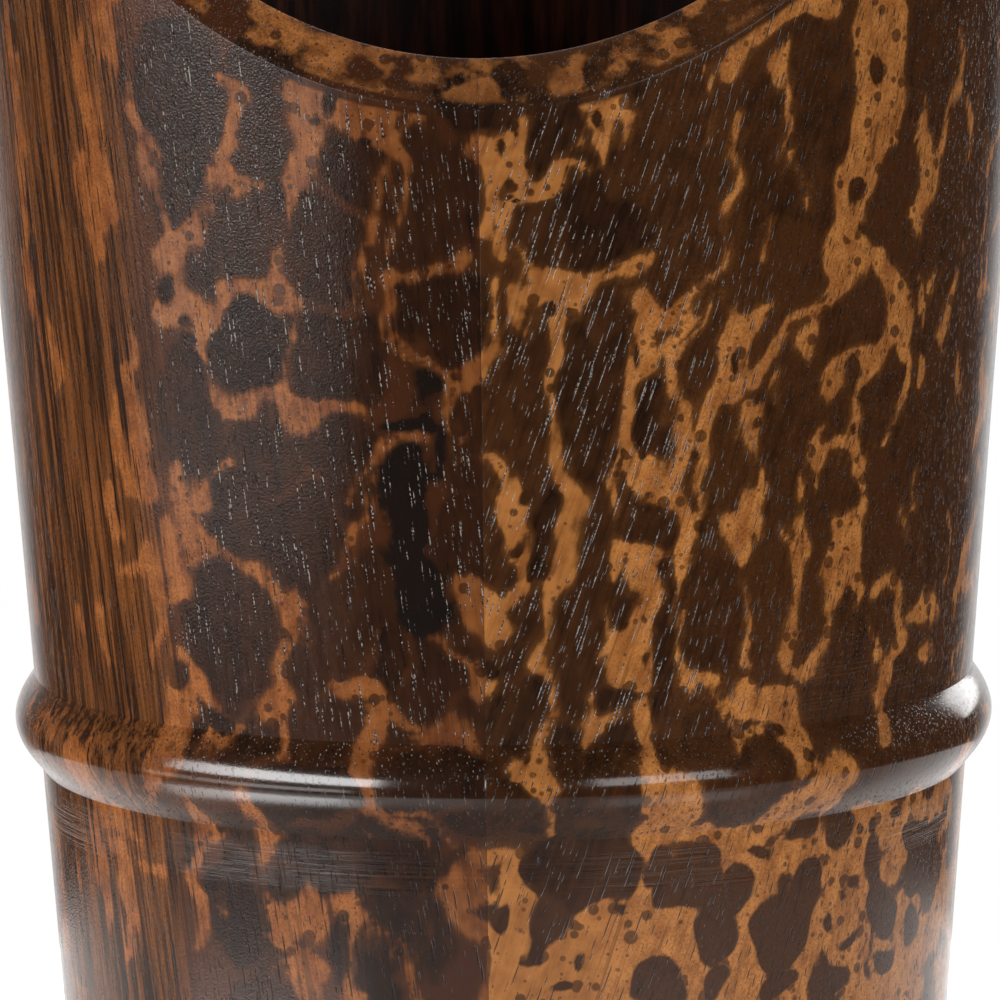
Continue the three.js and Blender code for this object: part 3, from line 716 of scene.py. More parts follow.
    [(-14.6, 76.7, 0.5), (-12.8, 74.4, 0.7), (-10.4, 71.7, 0.6), (-9, 69.3, 0.4), (-8, 67.3, 0.4)],
    [(-13.5, 92.5, 1.3), (-13.2, 89.5, 1.0), (-12.5, 88.3, 0.7)],
    [(-10.6, 88, 1.3), (-8.8, 86.6, 1.6), (-7.8, 85, 0.8), (-7.6, 84.2, 0.4)],
    [(-14.8, 86.3, 0.3), (-12.8, 84.9, 0.3)],
    [(-6.5, 86.3, 0.6), (-4.5, 85.2, 0.5), (-2.3, 83.9, 0.4), (-0.3, 83.4, 0.8), (1.5, 83.5, 0.6)],
    [(-7.4, 81.2, 0.4), (-5.8, 79, 1.0)],
    [(-2, 82.5, 0.4), (-2.6, 79.8, 1.6), (-1.4, 77.4, 1.6), (0, 74.5, 1.2), (0.8, 72, 1.0)],
    # bead and below, right
    [(3, 93.5, 0.8), (4.5, 91.3, 1.6), (7, 90, 1.2), (8.2, 88, 0.6), (8, 85, 0.4)],
    [(6, 93, 1.0), (7, 91.5, 1.0)],
    [(3, 82.5, 1.4), (3.5, 78, 3.0), (3.5, 72, 3.4), (3, 66, 3.5), (3, 58, 3.0)],
    [(8, 74, 4.2), (9, 68, 4.5), (15, 72, 5.0), (16, 66, 4.5), (14, 58, 4.0)],
    [(15, 73, 4.0), (18, 76.5, 3.2), (19.5, 84, 2.0), (21, 88, 2.6), (19, 91.5, 2.4), (18.3, 94, 0.8)],
    [(20, 85, 2.0), (25, 85.6, 1.5), (28, 84.6, 1.2), (31, 83, 2.6), (34, 79, 3.0)],
    [(22, 73, 4.5), (25, 68, 4.0), (31, 71, 4.0), (34, 79, 3.0)],
    [(26, 62, 4.0), (34, 66, 4.0), (40, 62, 4.0)],
    [(34, 86, 1.5), (40, 88.5, 2.2), (44, 90.5, 1.6)],
    [(42.5, 87, 1.6), (39, 84, 1.5), (36, 80.5, 2.4), (42, 82, 2.0), (46, 79, 3.0), (50, 84, 2.2),
     (55, 84, 2.0), (57, 79, 2.4)],
    [(46, 79, 3.0), (48, 74, 3.5), (43, 70, 3.0), (50, 69, 3.2), (58, 72, 2.6), (63, 72.5, 2.2)],
    [(33, 75, 3.0), (35, 69, 3.0), (42, 67, 3.0), (50, 64, 3.0), (58, 66, 2.4), (66, 68, 2.4)],
    [(57, 79, 2.4), (60, 84, 1.6), (66, 82, 1.2)],
]
stainSet = {
    "seed": 4127,
    "knownTurn": (-72, 70),
    "knownHeight": (62, 178),
    "knownFade": 4,
    "outside": -30.0,
    "tiny": 1e-6,
    "markMargin": 6,
    "farSide": -0.2,
    "strokeMargin": 8.0,
    "strokeCore": (0.55, 0.0),
    "strokeWide": {-1: (1.15, 0.4), 1: (1.05, 0.15)},
    "spotLimit": (1.4, 2.6),
    "spotCorner": (3, 92),
    "spotAway": 3,
    "looseTries": 14000,
    "looseHeight": (-2, 325),
    "looseWide": (0.8, 1.1),
    "looseTall": (0.9, 1.9),
    "looseLean": (-12, 12),
    "spotTurn": (-2, 118),
    "spotHeight": 84,
    "spotSizes": (0.5, 0.7, 0.9, 1.3, 1.8, 2.6, 3.6),
    "spotApart": 1.25,
    "cellSizes": (1.4, 2.4, 3.2, 4.2, 5.0),
    "cellApart": 0.75,
    "waveCount": 7,
    "waveLength": (3.5, 11),
    "wavePhase": (0, 6),
    "waveUsual": 9,
    "wanderTurn": 0.275,
    "wanderHeight": 0.385,
    "threadWander": 0.45,
    "threadLimit": (-1.5, 1),
    "threadHalf": 0.55,
    "grow": 1.25,
    "growAbove": (84, 6),
    "growLeft": (2, 5),
    "growFull": 2.5,
    "lipFade": 1.2,
    "arrisLift": 0.1,
    "arrisHalf": 0.35,
    "arrisFull": 1.6,
    "edgeGain": (1.0, 0.6),
    "edgeHalf": 0.8,
    "edgeDrop": 0.1,
    "soakLeft": (37, 6, 112, 12),
    "soakRight": (62, 10, 112, 12),
    "soakRightShare": 0.7,
}


def between(value, span):
    return span[0] < value < span[1]


def turnApart(turn, middle):
    return (turn - middle + 180) % 360 - 180


def fade(value, start, width):
    return np.clip((value - start) / width, 0, 1)


def sideBand(turn, near, nearWidth, far, farWidth):
    return fade(turn, near, nearWidth) * fade(-turn, -far, farWidth)


def looseDrops(own):
    # more marks of the same kind for the sides, the back, the foot and the top
    chance = random.Random(own["seed"])
    known = len(frontDrops)
    drops = np.zeros((known + own["looseTries"], 5))
    drops[:known] = frontDrops
    count = known
    for _ in range(own["looseTries"]):
        turn = chance.uniform(-180, 180)
        height = chance.uniform(*own["looseHeight"])
        spotted = between(turn, own["spotTurn"]) and height < own["spotHeight"]
        size = chance.choice(own["spotSizes"] if spotted else own["cellSizes"])
        wide = size * chance.uniform(*own["looseWide"])
        tall = size * chance.uniform(*own["looseTall"])
        lean = chance.uniform(*own["looseLean"])
        if between(turn, own["knownTurn"]) and between(height, own["knownHeight"]):
            continue
        others = drops[:count]
        across = turnApart(turn, others[:, 0]) / (wide + others[:, 2])
        up = (height - others[:, 1]) / (tall + others[:, 3])
        if (across ** 2 + up ** 2).min() > (own["spotApart"] if spotted else own["cellApart"]):
            drops[count] = turn, height, wide, tall, lean
            count += 1
    return [tuple(mark) for mark in drops[known:count]]


def wander(around, up, chance, size, own):
    # a smooth wobble so that no mark keeps a perfect oval
    total = np.zeros_like(around)
    for _ in range(own["waveCount"]):
        wave = chance.uniform(*own["waveLength"])
        heading = chance.uniform(0, 2 * math.pi)
        phase = chance.uniform(*own["wavePhase"])
        along = around * math.cos(heading) + up * math.sin(heading)
        total += np.sin(along * 2 * math.pi / wave + phase) * wave / own["waveUsual"]
    return total * size


def markDistance(turn, height, reach, mark):
    # how far inside the oval a point lies, in millimetres, and less than nothing outside
    middle, level, wide, tall, lean = mark
    across = turnApart(turn, middle) * reach
    up = height - level
    tip = math.radians(lean)
    side = (across * math.cos(tip) - up * math.sin(tip)) / wide
    rise = (across * math.sin(tip) + up * math.cos(tip)) / tall
    away = np.sqrt(side * side + rise * rise) + stainSet["tiny"]
    steep = np.sqrt((side / wide) ** 2 + (rise / tall) ** 2) / away
    depth = (1 - away) / np.maximum(steep, 1 / max(wide, tall))
    return np.clip(depth, stainSet["outside"], min(wide, tall))


def strokeDepth(turn, height, reach, stroke, gain, extra):
    # how far inside a drawn line of changing width a point lies, in millimetres
    best = np.full(len(turn), -stainSet["strokeMargin"])
    for (turnA, heightA, wideA), (turnB, heightB, wideB) in zip(stroke, stroke[1:]):
        across = turnApart(turn, turnA) * reach
        up = height - heightA
        overX = (turnB - turnA) * reach
        overZ = heightB - heightA
        share = np.clip((across * overX + up * overZ) / (overX ** 2 + overZ ** 2), 0, 1)
        away = np.hypot(across - share * overX, up - share * overZ)
        best = np.maximum(best, (wideA + (wideB - wideA) * share) * gain + extra - away)
    return best


def lipTop(turn):
    # height in millimetres where the slanted cut leaves the outside, at each turn
    base, flare, slope = bodySet["Base Radius"] / mm, bodySet["Flare"], bodySet["Mouth Slope"]
    lip = bodySet["Lip Height"] / mm
    front = np.cos(np.radians(turn))
    return (lip + slope * (base + flare * lip - base * front)) / (1 + slope * flare * front)


def stainPiece(thing, side, own):
    mesh = thing.data
    count = len(mesh.vertices)
    place = np.zeros(count * 3, np.float32)
    mesh.vertices.foreach_get("co", place)
    x, y, z = place.reshape(-1, 3).T.astype(np.float64) / mm
    turn = np.degrees(np.arctan2(x, -y))
    reach = np.hypot(x, y) * math.radians(1)
    around = turn * reach
    chance = random.Random(own["seed"])
    turnNow = turn + wander(around, z, chance, own["wanderTurn"], own) / reach
    zNow = z + wander(around, z, chance, own["wanderHeight"], own)
    order = np.argsort(zNow)
    sortedZ, sortedTurn, sortedReach = zNow[order], turnNow[order], reach[order]

    # dark marks: depth in the nearest and the next one, and the tone of the nearest
    grown = np.maximum(fade(z, *own["growAbove"]), fade(-turn, *own["growLeft"]))
    spread = own["grow"] * grown[order]
    best, second, raw = (np.full(count, own["outside"]) for _ in range(3))
    tone = np.zeros(count)
    for mark in frontDrops + allLoose:
        shade = chance.random()
        middle, level, wide, tall, _ = mark
        span = max(wide, tall) + own["markMargin"]
        part = slice(*np.searchsorted(sortedZ, (level - span, level + span)))
        if math.sin(math.radians(middle)) * side < own["farSide"] or part.start == part.stop:
            continue
        depth = markDistance(sortedTurn[part], sortedZ[part], sortedReach[part], mark)
        raw[part] = np.maximum(raw[part], depth)
        depth = depth + spread[part] * min(1, wide / own["growFull"])
        wins = depth > best[part]
        second[part] = np.where(wins, best[part], np.maximum(second[part], depth))
        tone[part] = np.where(wins, shade, tone[part])
        best[part] = np.where(wins, depth, best[part])
    back = np.argsort(order)
    best, second, raw, tone = best[back], second[back], raw[back], tone[back]
    drift = wander(around, z, chance, own["threadWander"], own)
    thread = own["threadHalf"] * np.clip(drift, *own["threadLimit"])
    edge = np.minimum(best, (best - second) / 2 - thread)

    # pale strokes: a core that lies over the marks, and a wider edge that stops at them
    core, broad = (np.full(count, -own["strokeMargin"]) for _ in range(2))
    for stroke in paleStrokes:
        heights = [point[1] for point in stroke]
        ends = min(heights) - own["strokeMargin"], max(heights) + own["strokeMargin"]
        part = order[slice(*np.searchsorted(sortedZ, ends))]
        where = turnNow[part], zNow[part], reach[part], stroke
        core[part] = np.maximum(core[part], strokeDepth(*where, *own["strokeCore"]))
        broad[part] = np.maximum(broad[part], strokeDepth(*where, *own["strokeWide"][side]))
    pale = np.maximum(core, np.minimum(broad, -raw))
    (limitWide, limitTall), (cornerTurn, cornerHeight) = own["spotLimit"], own["spotCorner"]
    small = [mark for mark in frontDrops if mark[2] <= limitWide and mark[3] <= limitTall
             or mark[0] > cornerTurn and mark[1] < cornerHeight]
    spot, soot = (np.max([markDistance(turnNow, zNow, reach, mark) for mark in marks], axis=0)
                  for marks in (small, sootPatches))

    # past the front that the photo shows, the loose marks alone draw the pattern
    known = np.ones(count)
    for value, (low, high) in ((turn, own["knownTurn"]), (z, own["knownHeight"])):
        known *= fade(value, low, own["knownFade"]) * fade(-value, -high, own["knownFade"])
    pale = known * pale - (1 - known) * edge
    spot = known * spot - (1 - known) * own["spotAway"]
    rim = z - lipTop(turn)
    arris = np.clip(own["arrisFull"] - np.abs(rim - own["arrisLift"]) / own["arrisHalf"], 0, 1)
    edgeLine = np.where(turn < 0, *own["edgeGain"]) * (own["edgeHalf"] - np.abs(rim + own["edgeDrop"]))
    soakRight = own["soakRightShare"] * sideBand(turn, *own["soakRight"])
    soak = np.maximum(sideBand(-turn, *own["soakLeft"]), soakRight)
    fields = {"paleEdge": pale, "spotEdge": np.maximum(spot, edgeLine), "cellEdge": edge, "stainTone": tone,
              "sootEdge": soot, "soak": soak, "onLip": fade(rim, 0, own["lipFade"]), "arris": arris}
    for label, values in fields.items():
        mesh.attributes.new(label, "FLOAT", "POINT").data.foreach_set("value", values.astype(np.float32))


allLoose = looseDrops(stainSet)
print("stain marks", len(frontDrops), "read,", len(allLoose), "loose")


# shared wood grain: streaks, fine fibre, open pores and long vessels along a leaning grain

grainSet = {
    # stretch along the grain, then scale, detail, roughness and warp of each noise
    "streak": (0.055, 620, 4.0, 0.6, 0.4),
    "broad": (0.055, 170, 2.0),
    "fine": (0.12, 2400, 3.0, 0.6),
    "thread": (0.02, 1700, 3.0, 0.65),
    # stretch along the grain, scale, and where the edge of each tube starts and ends
    "pore": (0.1, 2800, 0.13, 0.25),
    "vessel": (0.045, 2200, 0.15, 0.24),
    "crowd": (0.34, 0.54, 0.5, 1.0),
    "dashAcross": 0.5,
    "dash": (2700, 1.0),
    "dashRamp": (0.42, 0.54),
}


def makeWoodGrain(own):
    labels = ("Streak", "Thread", "Fine", "Pore", "Vessel")
    group, place, lean, end = newGroup("woodGrain", "Lean", 0.0, labels)
    x, y, z = separate(group, place)
    across = x - z * lean

    def fibres(stretch, *texture):
        return noise(group, vector(group, across, y, z * stretch), *texture)

    def tubes(stretch, scale, *edge):
        near = cells(group, vector(group, across, y, z * stretch), scale)
        return 1 - Term(group, near.outputs["Distance"]).ramp(*edge)

    crowd = fibres(*own["broad"]).ramp(*own["crowd"])
    thick = own["dashAcross"]
    dash = noise(group, vector(group, across * thick, y * thick, z), *own["dash"]).ramp(*own["dashRamp"])
    pore = tubes(*own["pore"]) * crowd * dash
    threads = [fibres(*own[label]) for label in ("streak", "thread", "fine")]
    for label, value in zip(labels, (*threads, pore, tubes(*own["vessel"]))):
        feed(group, end.inputs[label], value)
    return group


woodGrain = makeWoodGrain(grainSet)


def attribute(tree, label):
    node = addNode(tree, "ShaderNodeAttribute", attribute_type="GEOMETRY", attribute_name=label)
    return Term(tree, node.outputs["Fac"])


def splashes(tree, place, scale, rarity, size, edge):
    # small round drops, one in some of the cells and of many sizes
    node = cells(tree, place, scale)
    pick = tree.nodes.new("ShaderNodeSeparateColor")
    tree.links.new(node.outputs["Color"], pick.inputs[0])
    reach = (Term(tree, pick.outputs[0]) - rarity).most(0) * size
    return (reach - Term(tree, node.outputs["Distance"])).ramp(0.0, edge)


leftWood = {
    "lean": -0.12,
    "groundLow": srgb(94, 50, 24),
    "groundHigh": srgb(133, 80, 40),
    "lipLow": srgb(114, 66, 31),
    "lipHigh": srgb(160, 101, 52),
    "thinStain": srgb(60, 31, 14),
    "darkLow": srgb(24, 11, 5),
    "darkHigh": srgb(50, 26, 12),
    "soakLow": srgb(38, 20, 9),
    "soakHigh": srgb(100, 58, 27),
    "soot": srgb(9, 9, 9),
    # dark ink for pores, fibre and dust, also used for the painted shade along the seams
    "poreInkAndShade": srgb(24, 14, 9),
    # pale wax in the pores, also standing in for painted glints
    "waxAndGlint": srgb(178, 170, 162),
    # scale, detail and roughness of each noise
    "noises": {"wobble": (330, 3.0), "shiver": (950, 2.0), "lipPatch": (220, 3.0), "cloud": (420, 3.0),
               "dust": (3600, 2.0), "waxAndGlint": (3300, 1.0), "peel": (4000, 1.5), "turning": (2600, 3.0, 0.7)},
    # where a change along an axis starts and ends, in millimetres
    "zones": {"lighterRight": (12, 34), "lighterFront": (0, 15), "lighterLow": (90, 80), "paintedSeamShade": (6, 22),
              "waxAndGlintAbove": (84, 100), "waxAndGlintLeft": (16, 28), "crestLow": (88.5, 90.0), "crestHigh": (93.5, 92.5),
              "polishStart": (-36, -24), "polishEnd": (-6, 4), "innerEdge": (0.4, 1.2),
              "peelAbove": (110, 150), "peelLeft": (-26, -10), "latheRight": (22, 34)},
    # level and half height of the lathe lines in millimetres, and the share that is even
    "rings": {"belowBead": (81.5, 3.5, 0.4), "aboveBead": (101, 9, 0.3)},
    # how far the wobble moves the edge of each kind of mark
    "wobble": {"pale": 0.6, "spot": 0.4, "cell": 1.2, "soot": 2.0},
    "shiver": 0.7,
    "fray": 1.2,
    "soakFray": 3,
    "paleStreak": 0.9,
    "soakStreak": 2,
    "cellStreak": 0.9,
    "paleRamp": (-0.35, 0.6),
    "haloRamp": (-0.8, 0.1),
    "halo": 0.12,
    "lipRamp": (0.45, 0.57),
    "lipPale": 0.85,
    # scale, rarity, size and edge of the splashed drops
    "bigDrops": (520, 0.30, 0.75, 0.10),
    "smallDrops": (1000, 0.45, 0.75, 0.10),
    "dropShare": 0.8,
    "spotRamp": (-0.2, 0.25),
    "cellRamp": (-0.5, 0.6),
    "sootRamp": (-0.6, 0.6),
    "sootShare": 0.94,
    "warmStreak": 0.6,
    "warmCloud": 0.5,
    "warmRamp": (0.36, 0.72),
    "soakRamp": (0.40, 0.62),
    "lighterRight": 0.5,
    "lighterFront": 0.45,
    "shadeStart": 0.2,
    "shadeTone": 0.5,
    "shadeStreak": 1.5,
    "shadeCloud": 1.2,
    "shadeFine": 0.9,
    "fibreRamp": (0.25, 0.5, 0.35, 0.0),
    "lineRamp": (0.32, 0.44),
    "lines": 0.5,
    "dustRamp": (0.32, 0.6, 0.4, 0.0),
    # how dark the painted shade along the seams gets
    "paintedSeamShadeShare": 0.34,
    "poreShare": 0.85,
    # painted glints and pale wax in the pores: threshold, share on the right, share, and how much less on the
    # lip
    "waxAndGlintRamp": (0.47, 0.61),
    "waxAndGlintRight": 0.2,
    "waxAndGlintShare": 0.42,
    "waxAndGlintLip": 0.34,
    "rough": 0.17,
    "roughFine": 0.14,
    "roughArris": 0.1,
    "smoothCrest": 0.04,
    "specular": 0.26,
    "polish": 0.8,
    "coatRough": 0.14,
    "peelRamp": (0.25, 0.75),
    "peel": 0.34,
    "peelLeast": 0.2,
    "peelPale": 0.6,
    "turnStretch": 0.02,
    "latheBelow": 0.5,
    "latheAbove": 0.35,
    "latheHigh": 1.2,
    "poreDeep": 1.7,
    "fineHigh": 0.08,
    "bump": (0.6, 0.16 * mm),
}
rightWood = {**leftWood, "lean": 0.35, "paleRamp": (-0.25, 0.35), "lines": 0.55, "peel": 0.08,
             "fray": 0.5, "halo": 0.15,
             "groundLow": srgb(134, 80, 37), "groundHigh": srgb(178, 116, 60), "thinStain": srgb(66, 37, 16),
             "darkLow": srgb(28, 13, 5), "darkHigh": srgb(66, 37, 16)}


def makeMottledWood(name, own):
    material, tree, shader = newMaterial(name)
    place = objectPlace(tree)
    x, y, z = separate(tree, place)
    grain = placeGroup(tree, woodGrain, Place=place, Lean=own["lean"])
    streak, thread, fine = (grain[label] - 0.5 for label in ("Streak", "Thread", "Fine"))
    soak, lip = attribute(tree, "soak"), attribute(tree, "onLip")

    def texture(label, where=place):
        return noise(tree, where, *own["noises"][label])

    def zone(axis, label, *ends):
        low, high = own["zones"][label]
        return axis.ramp(low * mm, high * mm, *ends)

    def ring(label):
        level, half, even = own["rings"][label]
        return 1 - ((z - level * mm) / (half * mm)).absolute().ramp(even, 1.0)

    def tint(label, share):
        return blendColour(tree, share, own[label + "Low"], own[label + "High"])

    wobble = (texture("wobble") - 0.5) + (texture("shiver") - 0.5) * own["shiver"]

    def edge(label):
        return attribute(tree, label + "Edge") + wobble * own["wobble"][label]

    frayed = thread * (soak * own["soakFray"] + own["fray"])
    inside = edge("pale") + streak * (own["paleStreak"] + soak * own["soakStreak"]) + frayed
    pale = inside.ramp(*own["paleRamp"]).most(inside.ramp(*own["haloRamp"]) * own["halo"])
    pale = pale * (1 - lip) + lip * texture("lipPatch").ramp(*own["lipRamp"], 0.0, own["lipPale"])
    drops = splashes(tree, place, *own["smallDrops"]) * own["dropShare"]
    drops = splashes(tree, place, *own["bigDrops"]).most(drops) * own["dropShare"]
    spot = edge("spot").ramp(*own["spotRamp"]).most(drops * (1 - soak))
    cell = (edge("cell") + streak * own["cellStreak"]).ramp(*own["cellRamp"])
    soot = edge("soot").ramp(*own["sootRamp"])

    cloud = texture("cloud")
    warmth = (grain["Streak"] * own["warmStreak"] + cloud * own["warmCloud"]).ramp(*own["warmRamp"])
    ground = blendColour(tree, lip, tint("ground", warmth), tint("lip", warmth))
    soaked = ((grain["Streak"] + grain["Thread"]) / 2).ramp(*own["soakRamp"])
    # dark marks turn lighter towards the right, and at the front below the bead
    lighterMarks = zone(x, "lighterRight") * own["lighterRight"]
    lighterMarks = lighterMarks + zone(x, "lighterFront") * zone(z, "lighterLow") * own["lighterFront"]
    shade = attribute(tree, "stainTone") * own["shadeTone"] + streak * own["shadeStreak"]
    shade = shade + (cloud - 0.5) * own["shadeCloud"] + own["shadeStart"] + lighterMarks + fine * own["shadeFine"]
    stained = blendColour(tree, cell, own["thinStain"], tint("dark", shade.clamped()))
    stained = blendColour(tree, soak, stained, tint("soak", soaked))
    colour = blendColour(tree, pale * (1 - spot), stained, ground)
    colour = blendColour(tree, soot * own["sootShare"], colour, own["soot"])
    pores = grain["Pore"].most(grain["Vessel"])
    lines = grain["Thread"].ramp(*own["lineRamp"], own["lines"], 0.0)
    fibre = grain["Fine"].ramp(*own["fibreRamp"]).most(lines)
    dust = texture("dust").ramp(*own["dustRamp"])
    # painted shade: darker in a band either side of the seams, for the dimmer light at the middle of the
    # front
    paintedSeamShade = zone(x.absolute(), "paintedSeamShade", own["paintedSeamShadeShare"], 0.0)
    ink = (pores * own["poreShare"]).most(fibre).most(dust).most(paintedSeamShade)
    colour = blendColour(tree, ink, colour, own["poreInkAndShade"])
    # pale wax in the pores with painted glints, kept above the bead and mostly off the right side, where the
    # lamps catch them
    waxAndGlint = pores * texture("waxAndGlint").ramp(*own["waxAndGlintRamp"]) * zone(z, "waxAndGlintAbove")
    waxAndGlint = waxAndGlint * zone(x, "waxAndGlintLeft", 1.0, own["waxAndGlintRight"]) * (1 - soak)
    colour = blendColour(tree, waxAndGlint * (own["waxAndGlintShare"] - lip * own["waxAndGlintLip"]), colour, own["waxAndGlint"])
    feed(tree, shader.inputs["Base Color"], colour)

    crest = zone(z, "crestLow") * zone(z, "crestHigh")
    gloss = own["rough"] + fine * own["roughFine"] + attribute(tree, "arris") * own["roughArris"]
    feed(tree, shader.inputs["Roughness"], gloss - crest * own["smoothCrest"])
    shader.inputs["Specular IOR Level"].default_value = own["specular"]
    polish = crest * zone(x, "polishStart") * zone(x, "polishEnd", 1.0, 0.0) * own["polish"]
    boreRadius = bodySet["Base Radius"] - bodySet["Wall"] + z * bodySet["Flare"]
    innerEdge = 1 - zone((x * x + y * y).power(0.5) - boreRadius, "innerEdge")
    feed(tree, shader.inputs["Coat Weight"], polish.most(innerEdge))
    shader.inputs["Coat Roughness"].default_value = own["coatRough"]

    peel = texture("peel").ramp(*own["peelRamp"]) * own["peel"] * (1 - pale * own["peelPale"])
    peel = peel * zone(z, "peelAbove", own["peelLeast"], 1.0) * zone(x, "peelLeft", 1.0, own["peelLeast"])
    turning = texture("turning", vector(tree, x * own["turnStretch"], y * own["turnStretch"], z)) - 0.5
    above = ring("aboveBead") * zone(x, "latheRight") * own["latheAbove"]
    lathe = turning * (ring("belowBead") * own["latheBelow"]).most(above) * own["latheHigh"]
    height = peel + lathe - pores * own["poreDeep"] + grain["Fine"] * own["fineHigh"]
    bump(tree, shader, height, *own["bump"])
    return material


boreWoodSet = {
    "axes": (0, 1, 2), "streak": 0.9, "cloud": 0.4, "start": -0.2, "ramp": (0.30, 0.80),
    "low": srgb(28, 15, 11), "high": srgb(108, 54, 31), "ink": srgb(10, 6, 5), "poreShare": 0.6,
    "specular": 0.15, "rough": 0.6, "fineHigh": 0.3, "deep": 0.15 * mm,
}
plugWoodSet = {
    "axes": (1, 2, 0), "streak": 1.0, "cloud": 0.0, "start": 0.0, "ramp": (0.3, 0.7),
    "low": srgb(38, 23, 14), "high": srgb(86, 54, 31), "ink": srgb(20, 12, 8), "poreShare": 0.7,
    "specular": 0.5, "rough": 0.55, "fineHigh": 0.25, "deep": 0.14 * mm,
}
plainWoodSet = {"cloud": (55, 2.0), "roughFine": 0.2, "bump": 0.5}


def makePlainWood(name, own):
    # stained but unmarked wood, with its grain along the last of its axes
    material, tree, shader = newMaterial(name)
    place = objectPlace(tree)
    ways = separate(tree, place)
    along = vector(tree, *(ways[axis] for axis in own["axes"]))
    grain = placeGroup(tree, woodGrain, Place=along, Lean=0.0)
    cloud = noise(tree, place, *plainWoodSet["cloud"])
    share = (grain["Streak"] * own["streak"] + cloud * own["cloud"] + own["start"]).ramp(*own["ramp"])
    colour = blendColour(tree, share, own["low"], own["high"])
    colour = blendColour(tree, grain["Pore"] * own["poreShare"], colour, own["ink"])
    feed(tree, shader.inputs["Base Color"], colour)
    shader.inputs["Specular IOR Level"].default_value = own["specular"]
    feed(tree, shader.inputs["Roughness"], own["rough"] + (grain["Fine"] - 0.5) * plainWoodSet["roughFine"])
    bump(tree, shader, grain["Fine"] * own["fineHigh"] - grain["Pore"], plainWoodSet["bump"], own["deep"])
    return material


boreWood = makePlainWood("boreWood", boreWoodSet)
for name, woodName, node, side, startAngle, wood in (
        ("leftHalf", "mottledWoodLeft", "body_half_left", -1, math.pi, leftWood),
        ("rightHalf", "mottledWoodRight", "body_half_right", 1, 0.0, rightWood)):
    half = makeHalf(name, startAngle, makeMottledWood(woodName, wood), boreWood)
    stainPiece(half, side, stainSet)
    settle(half, "vase", [node])


# foot plug, a turned disc with its board's grain running across

plugSet = {"thick": 12.0, "radius": 41.55, "taper": math.tan(math.radians(4.12)), "chamfer": 0.4,
           "centreMark": [(0, 0.9), (0.5, 0.5), (1.2, 0)], "grooves": (9.0, 18.0, 27.0, 35.5),
           "grooveDepth": 0.35, "grooveHalf": 0.45, "segments": 144}
turnedWeld = 0.0005 * mm


def turnedMesh(name, profile, segments, ring=False):
    # a profile of radius and height turned about the upright axis
    work = bmesh.new()
    columns = []
    for index in range(segments):
        angle = 2 * math.pi * index / segments
        columns.append([work.verts.new((out * math.cos(angle) * mm, out * math.sin(angle) * mm, level * mm))
                        for out, level in profile])
    last = len(profile) - (0 if ring else 1)
    for index in range(segments):
        here, there = columns[index], columns[(index + 1) % segments]
        for row in range(last):
            up = (row + 1) % len(profile)
            work.faces.new((here[row], there[row], there[up], here[up]))
    bmesh.ops.remove_doubles(work, verts=work.verts, dist=turnedWeld)
    bmesh.ops.dissolve_degenerate(work, edges=work.edges, dist=turnedWeld)
    return meshFrom(work, name)


def finishPiece(name, mesh, material, body, nodes=(), sharpAngle=35):
    thing = addObject(name, mesh)
    mesh.materials.append(material)
    closeAndSmooth(thing, sharpAngle)
    settle(thing, body, nodes)


def arc(middle, level, radius, start, stop, steps):
    points = []
    for step in range(steps + 1):
        angle = math.radians(start + (stop - start) * step / steps)
        points.append((middle + radius * math.cos(angle), level + radius * math.sin(angle)))
    return points


def makePlug(own):
    cut, thick, radius, taper = own["chamfer"], own["thick"], own["radius"], own["taper"]
    profile = list(own["centreMark"])
    half = own["grooveHalf"]
    for groove in own["grooves"]:
        profile += [(groove - half, 0), (groove, own["grooveDepth"]), (groove + half, 0)]
    high = radius + taper * thick
    profile += [(radius - cut, 0), (radius + taper * cut, cut),
                (high - taper * cut, thick - cut), (high - cut, thick), (0, thick)]
    finishPiece("footPlug", turnedMesh("footPlug", profile, own["segments"]),
                makePlainWood("plugWood", plugWoodSet), "vase", ["base_plug"])


makePlug(plugSet)


# water liner of sheet copper: wall, floor, solder ring, lap seam, rim wire, ears

linerSet = {
    "foot": 12.3, "footRadius": 41.54, "taper": 0.0402, "sheet": 0.8, "segments": 160, "steps": 24,
    "curlRadius": 48.14, "curlHeight": 144.2, "curlInside": 1.3, "curlOutside": 2.1, "curlEnd": -100,
    "flange": 5.0, "bend": 1.2, "bendInside": 0.48, "gap": 0.3, "wire": 1.0,
    "dish": 0.25, "dishShape": [(0, 1.0), (14, 0.8), (26, 0.3), (32, 0.0)],
    "solder": 0.55, "solderIn": 0.25, "solderDown": 0.2,
    "seamHalf": 4.2, "seamThick": 0.45, "seamSunk": 0.2, "seamClear": 0.6, "seamRows": 40, "seamTurns": 9,
    "earThick": 1.2, "earHalf": 4.5, "earLength": 14.0, "earCorner": 1, "earBevel": 0.2, "earSharp": 40,
    "earStraight": (3, 1, 6), "earWeld": 0.0005, "earRim": 1.2, "roundSteps": 32,
    "rimTop": 146.3, "eyeHeight": 147.8, "eyeRadius": 1.5,
}
tarnishSet = {
    "cloud": (5.0, 0.62, 0.8), "cloudRamp": (0.38, 0.66),
    "brushAcross": 0.3, "brushAlong": 4, "brush": (1400, 3.0),
    "speckScale": 4, "speckSize": 0.18, "speckEdge": 0.12, "speckCloud": (0.45, 0.6),
    "roughBloom": 0.16, "roughBrush": 0.2, "highBrush": 0.4, "highBloom": 0.3, "bump": (0.35, 0.05 * mm),
}


